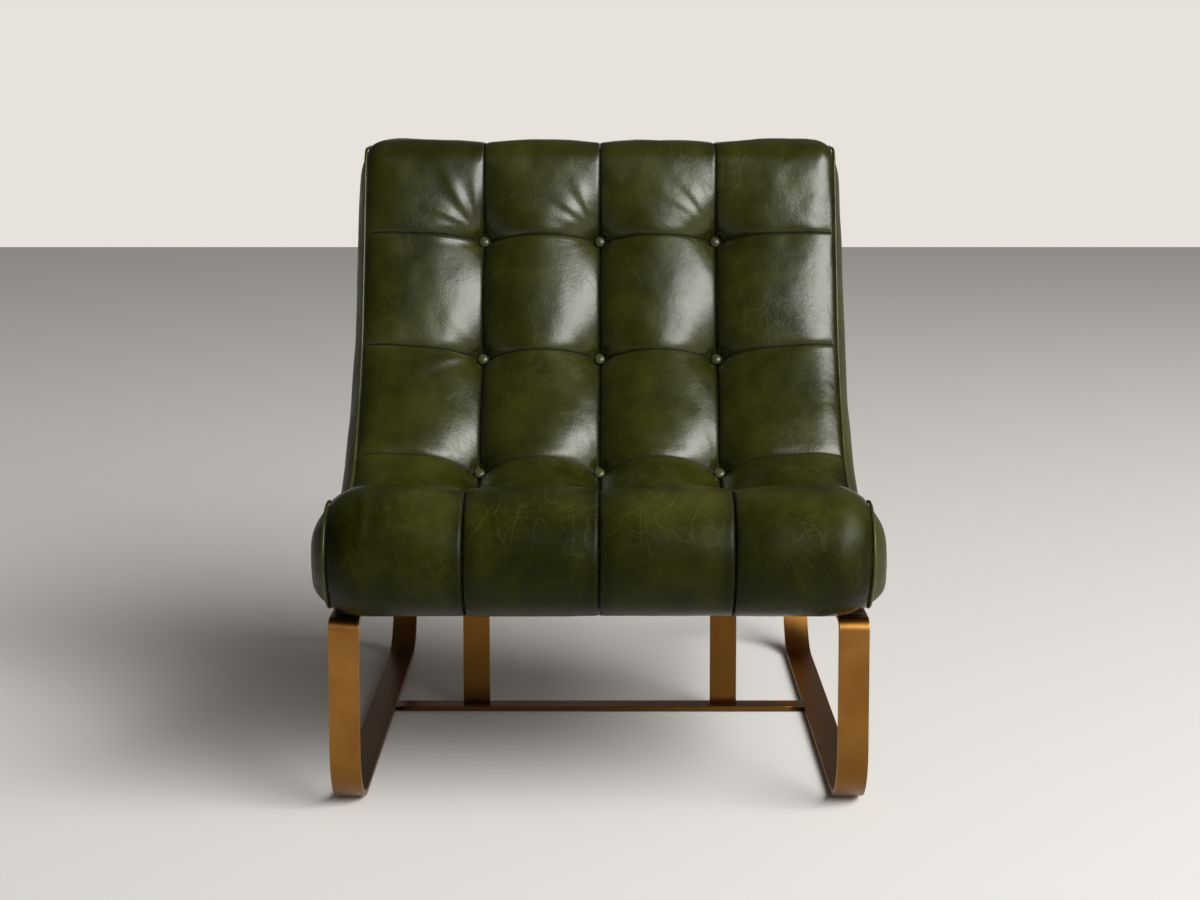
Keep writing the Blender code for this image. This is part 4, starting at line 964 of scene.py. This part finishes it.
flat = bar_section(BAR_WIDTH, BAR_THICKNESS)
for side, sign in SIDES:
    place, inward = rounded_loop(GLIDE, HOOP_TOP, -MIDDLE, HOOP_DEPTH - MIDDLE,
                                 HOOP_FOOT_RADIUS, HOOP_TOP_RADIUS)
    place = place + SIDEWAYS * sign * (HOOP_HALF - BAR_WIDTH / 2)
    piece = bar("hoop_" + side, place, inward, SIDEWAYS, flat, True)
    finish(piece, brass, "antique_brass", "side_hoop_" + side)
    piece = bar("strut_" + side, *upright_line(*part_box("upright_" + side)), SIDEWAYS, flat, False)
    finish(piece, shaded_brass, "antique_brass", "upright_" + side)

low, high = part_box("floor_crossbar")
line = np.array([(low.x + (high.x - low.x) * step / CROSSBAR_STEPS, (low.y + high.y) / 2, high.z)
                 for step in range(CROSSBAR_STEPS + 1)])
piece = bar("cross_strip", line, np.array([(0.0, 0.0, -1.0)] * len(line)), BACKWARD,
            bar_section(high.y - low.y, high.z - low.z), False)
finish(piece, shaded_brass, "antique_brass", "floor_crossbar")


# Parts that are shown as they were packed

HARDWARE = ("spacer", "glide", "hoop_bolt", "upright_screw")
KEPT = {"spacer": rubber, "glide": nylon, "hoop_bolt": zinc, "upright_screw": zinc, "side_frame": birch,
        "front_rail": beech, "base_rail": beech, "lumbar_rail": beech, "top_rail": beech, "side_pad": fluff,
        "seat_foam": cream, "back_foam": cream, "spring_felt": felt, "back_strap": jute,
        "seat_spring": spring, "dust_cover": cloth}
for name, piece in nodes.items():
    for start, material in KEPT.items():
        if name.startswith(start):
            piece.data.materials.clear()
            piece.data.materials.append(material)
            if start in HARDWARE:
                rim = piece.modifiers.new("edges", "BEVEL")
                rim.width, rim.segments = 0.0005, 2
                rim.limit_method, rim.angle_limit = "ANGLE", math.radians(40)


# Floor, light and camera

FLOOR_HALF, CAMERA_PITCH = 9, 5.5
LAMP_AIM, LAMP_LEAN = (0.0, 0.0, 0.6), 18.0


def floor():
    """A plain pale floor, which gets a little darker in front of the picture's lower edge."""
    made, tree, shader = new_material("pale_floor")
    depth = node(tree, "SeparateXYZ", {0: object_place(tree)}).outputs[1]
    colour = mix_colour(span(depth, -1.3, -0.6), (0.46, 0.44, 0.42), (0.86, 0.83, 0.79))
    set_inputs(shader, {"Base Color": colour, "Roughness": 0.95, "Specular IOR Level": 0.12})
    data = bpy.data.meshes.new("floor")
    corners = [(x * FLOOR_HALF, y * FLOOR_HALF, 0) for x, y in ((-1, -1), (1, -1), (1, 1), (-1, 1))]
    data.from_pydata(corners, [], [(0, 1, 2, 3)])
    ground = add_object("floor", data)
    data.materials.append(made)


def lamp(name, place, width, height, watts, colour):
    """A rectangle of light that faces the seat and leans to one side."""
    data = bpy.data.lights.new(name, "AREA")
    data.shape, data.size, data.size_y, data.energy, data.color = "RECTANGLE", width, height, watts, colour
    made = add_object(name, data)
    made.location = place
    facing = (Vector(LAMP_AIM) - Vector(place)).to_track_quat("-Z", "Y")
    made.rotation_euler = (facing @ Quaternion((0.0, 0.0, 1.0), math.radians(LAMP_LEAN))).to_euler()


floor()
lamp("window", (4.4, -3.76, 4.15), 5.2, 2.7, 275.0, (0.96, 0.99, 1.03))
lamp("window_surround", (4.42, -3.78, 4.17), 7.2, 4.0, 350.0, (1.0, 0.995, 0.985))
world = bpy.data.worlds.new("studio")
scene.world = world
world.use_nodes = True
tree = world.node_tree
toward = node(tree, "SeparateXYZ", {0: node(tree, "TexCoord").outputs["Generated"]}).outputs
# A pale backdrop behind the chair, a dim band round the rest, and a soft glow beside the window
band = mix_colour(span(toward[1], 0.88, 0.95), (0.32, 0.3, 0.28), (0.8, 0.76, 0.71))
band = mix_colour(span(toward[1], -0.5, 0.1), (0.12, 0.115, 0.11), band)
upper = mix_colour(span(toward[0], -0.6, 0.3), (0.055, 0.052, 0.047), (0.1, 0.095, 0.088))
sky = mix_colour(span(toward[2], 0.03, 0.2), band, upper)
glow = span(toward[0], -0.28, 0.42)
for axis, low, high in ((1, 0.0, -0.3), (2, -0.02, 0.12), (2, 0.94, 0.78)):
    glow = times(glow, span(toward[axis], low, high))
sky = mix_colour(glow, sky, (1.1, 1.08, 1.04))
tree.links.new(sky, tree.nodes["Background"].inputs["Color"])

camera = add_object("camera", bpy.data.cameras.new("camera"))
camera.location = (0.0075, -2.932, 0.9026)
camera.rotation_euler = (math.pi / 2 - math.radians(CAMERA_PITCH), 0.0, 0.0)
camera.data.sensor_width, camera.data.lens = 36.0, 63.45
camera.data.shift_x, camera.data.shift_y = -0.00417, -0.133
scene.camera = camera
scene.view_settings.view_transform = "Standard"
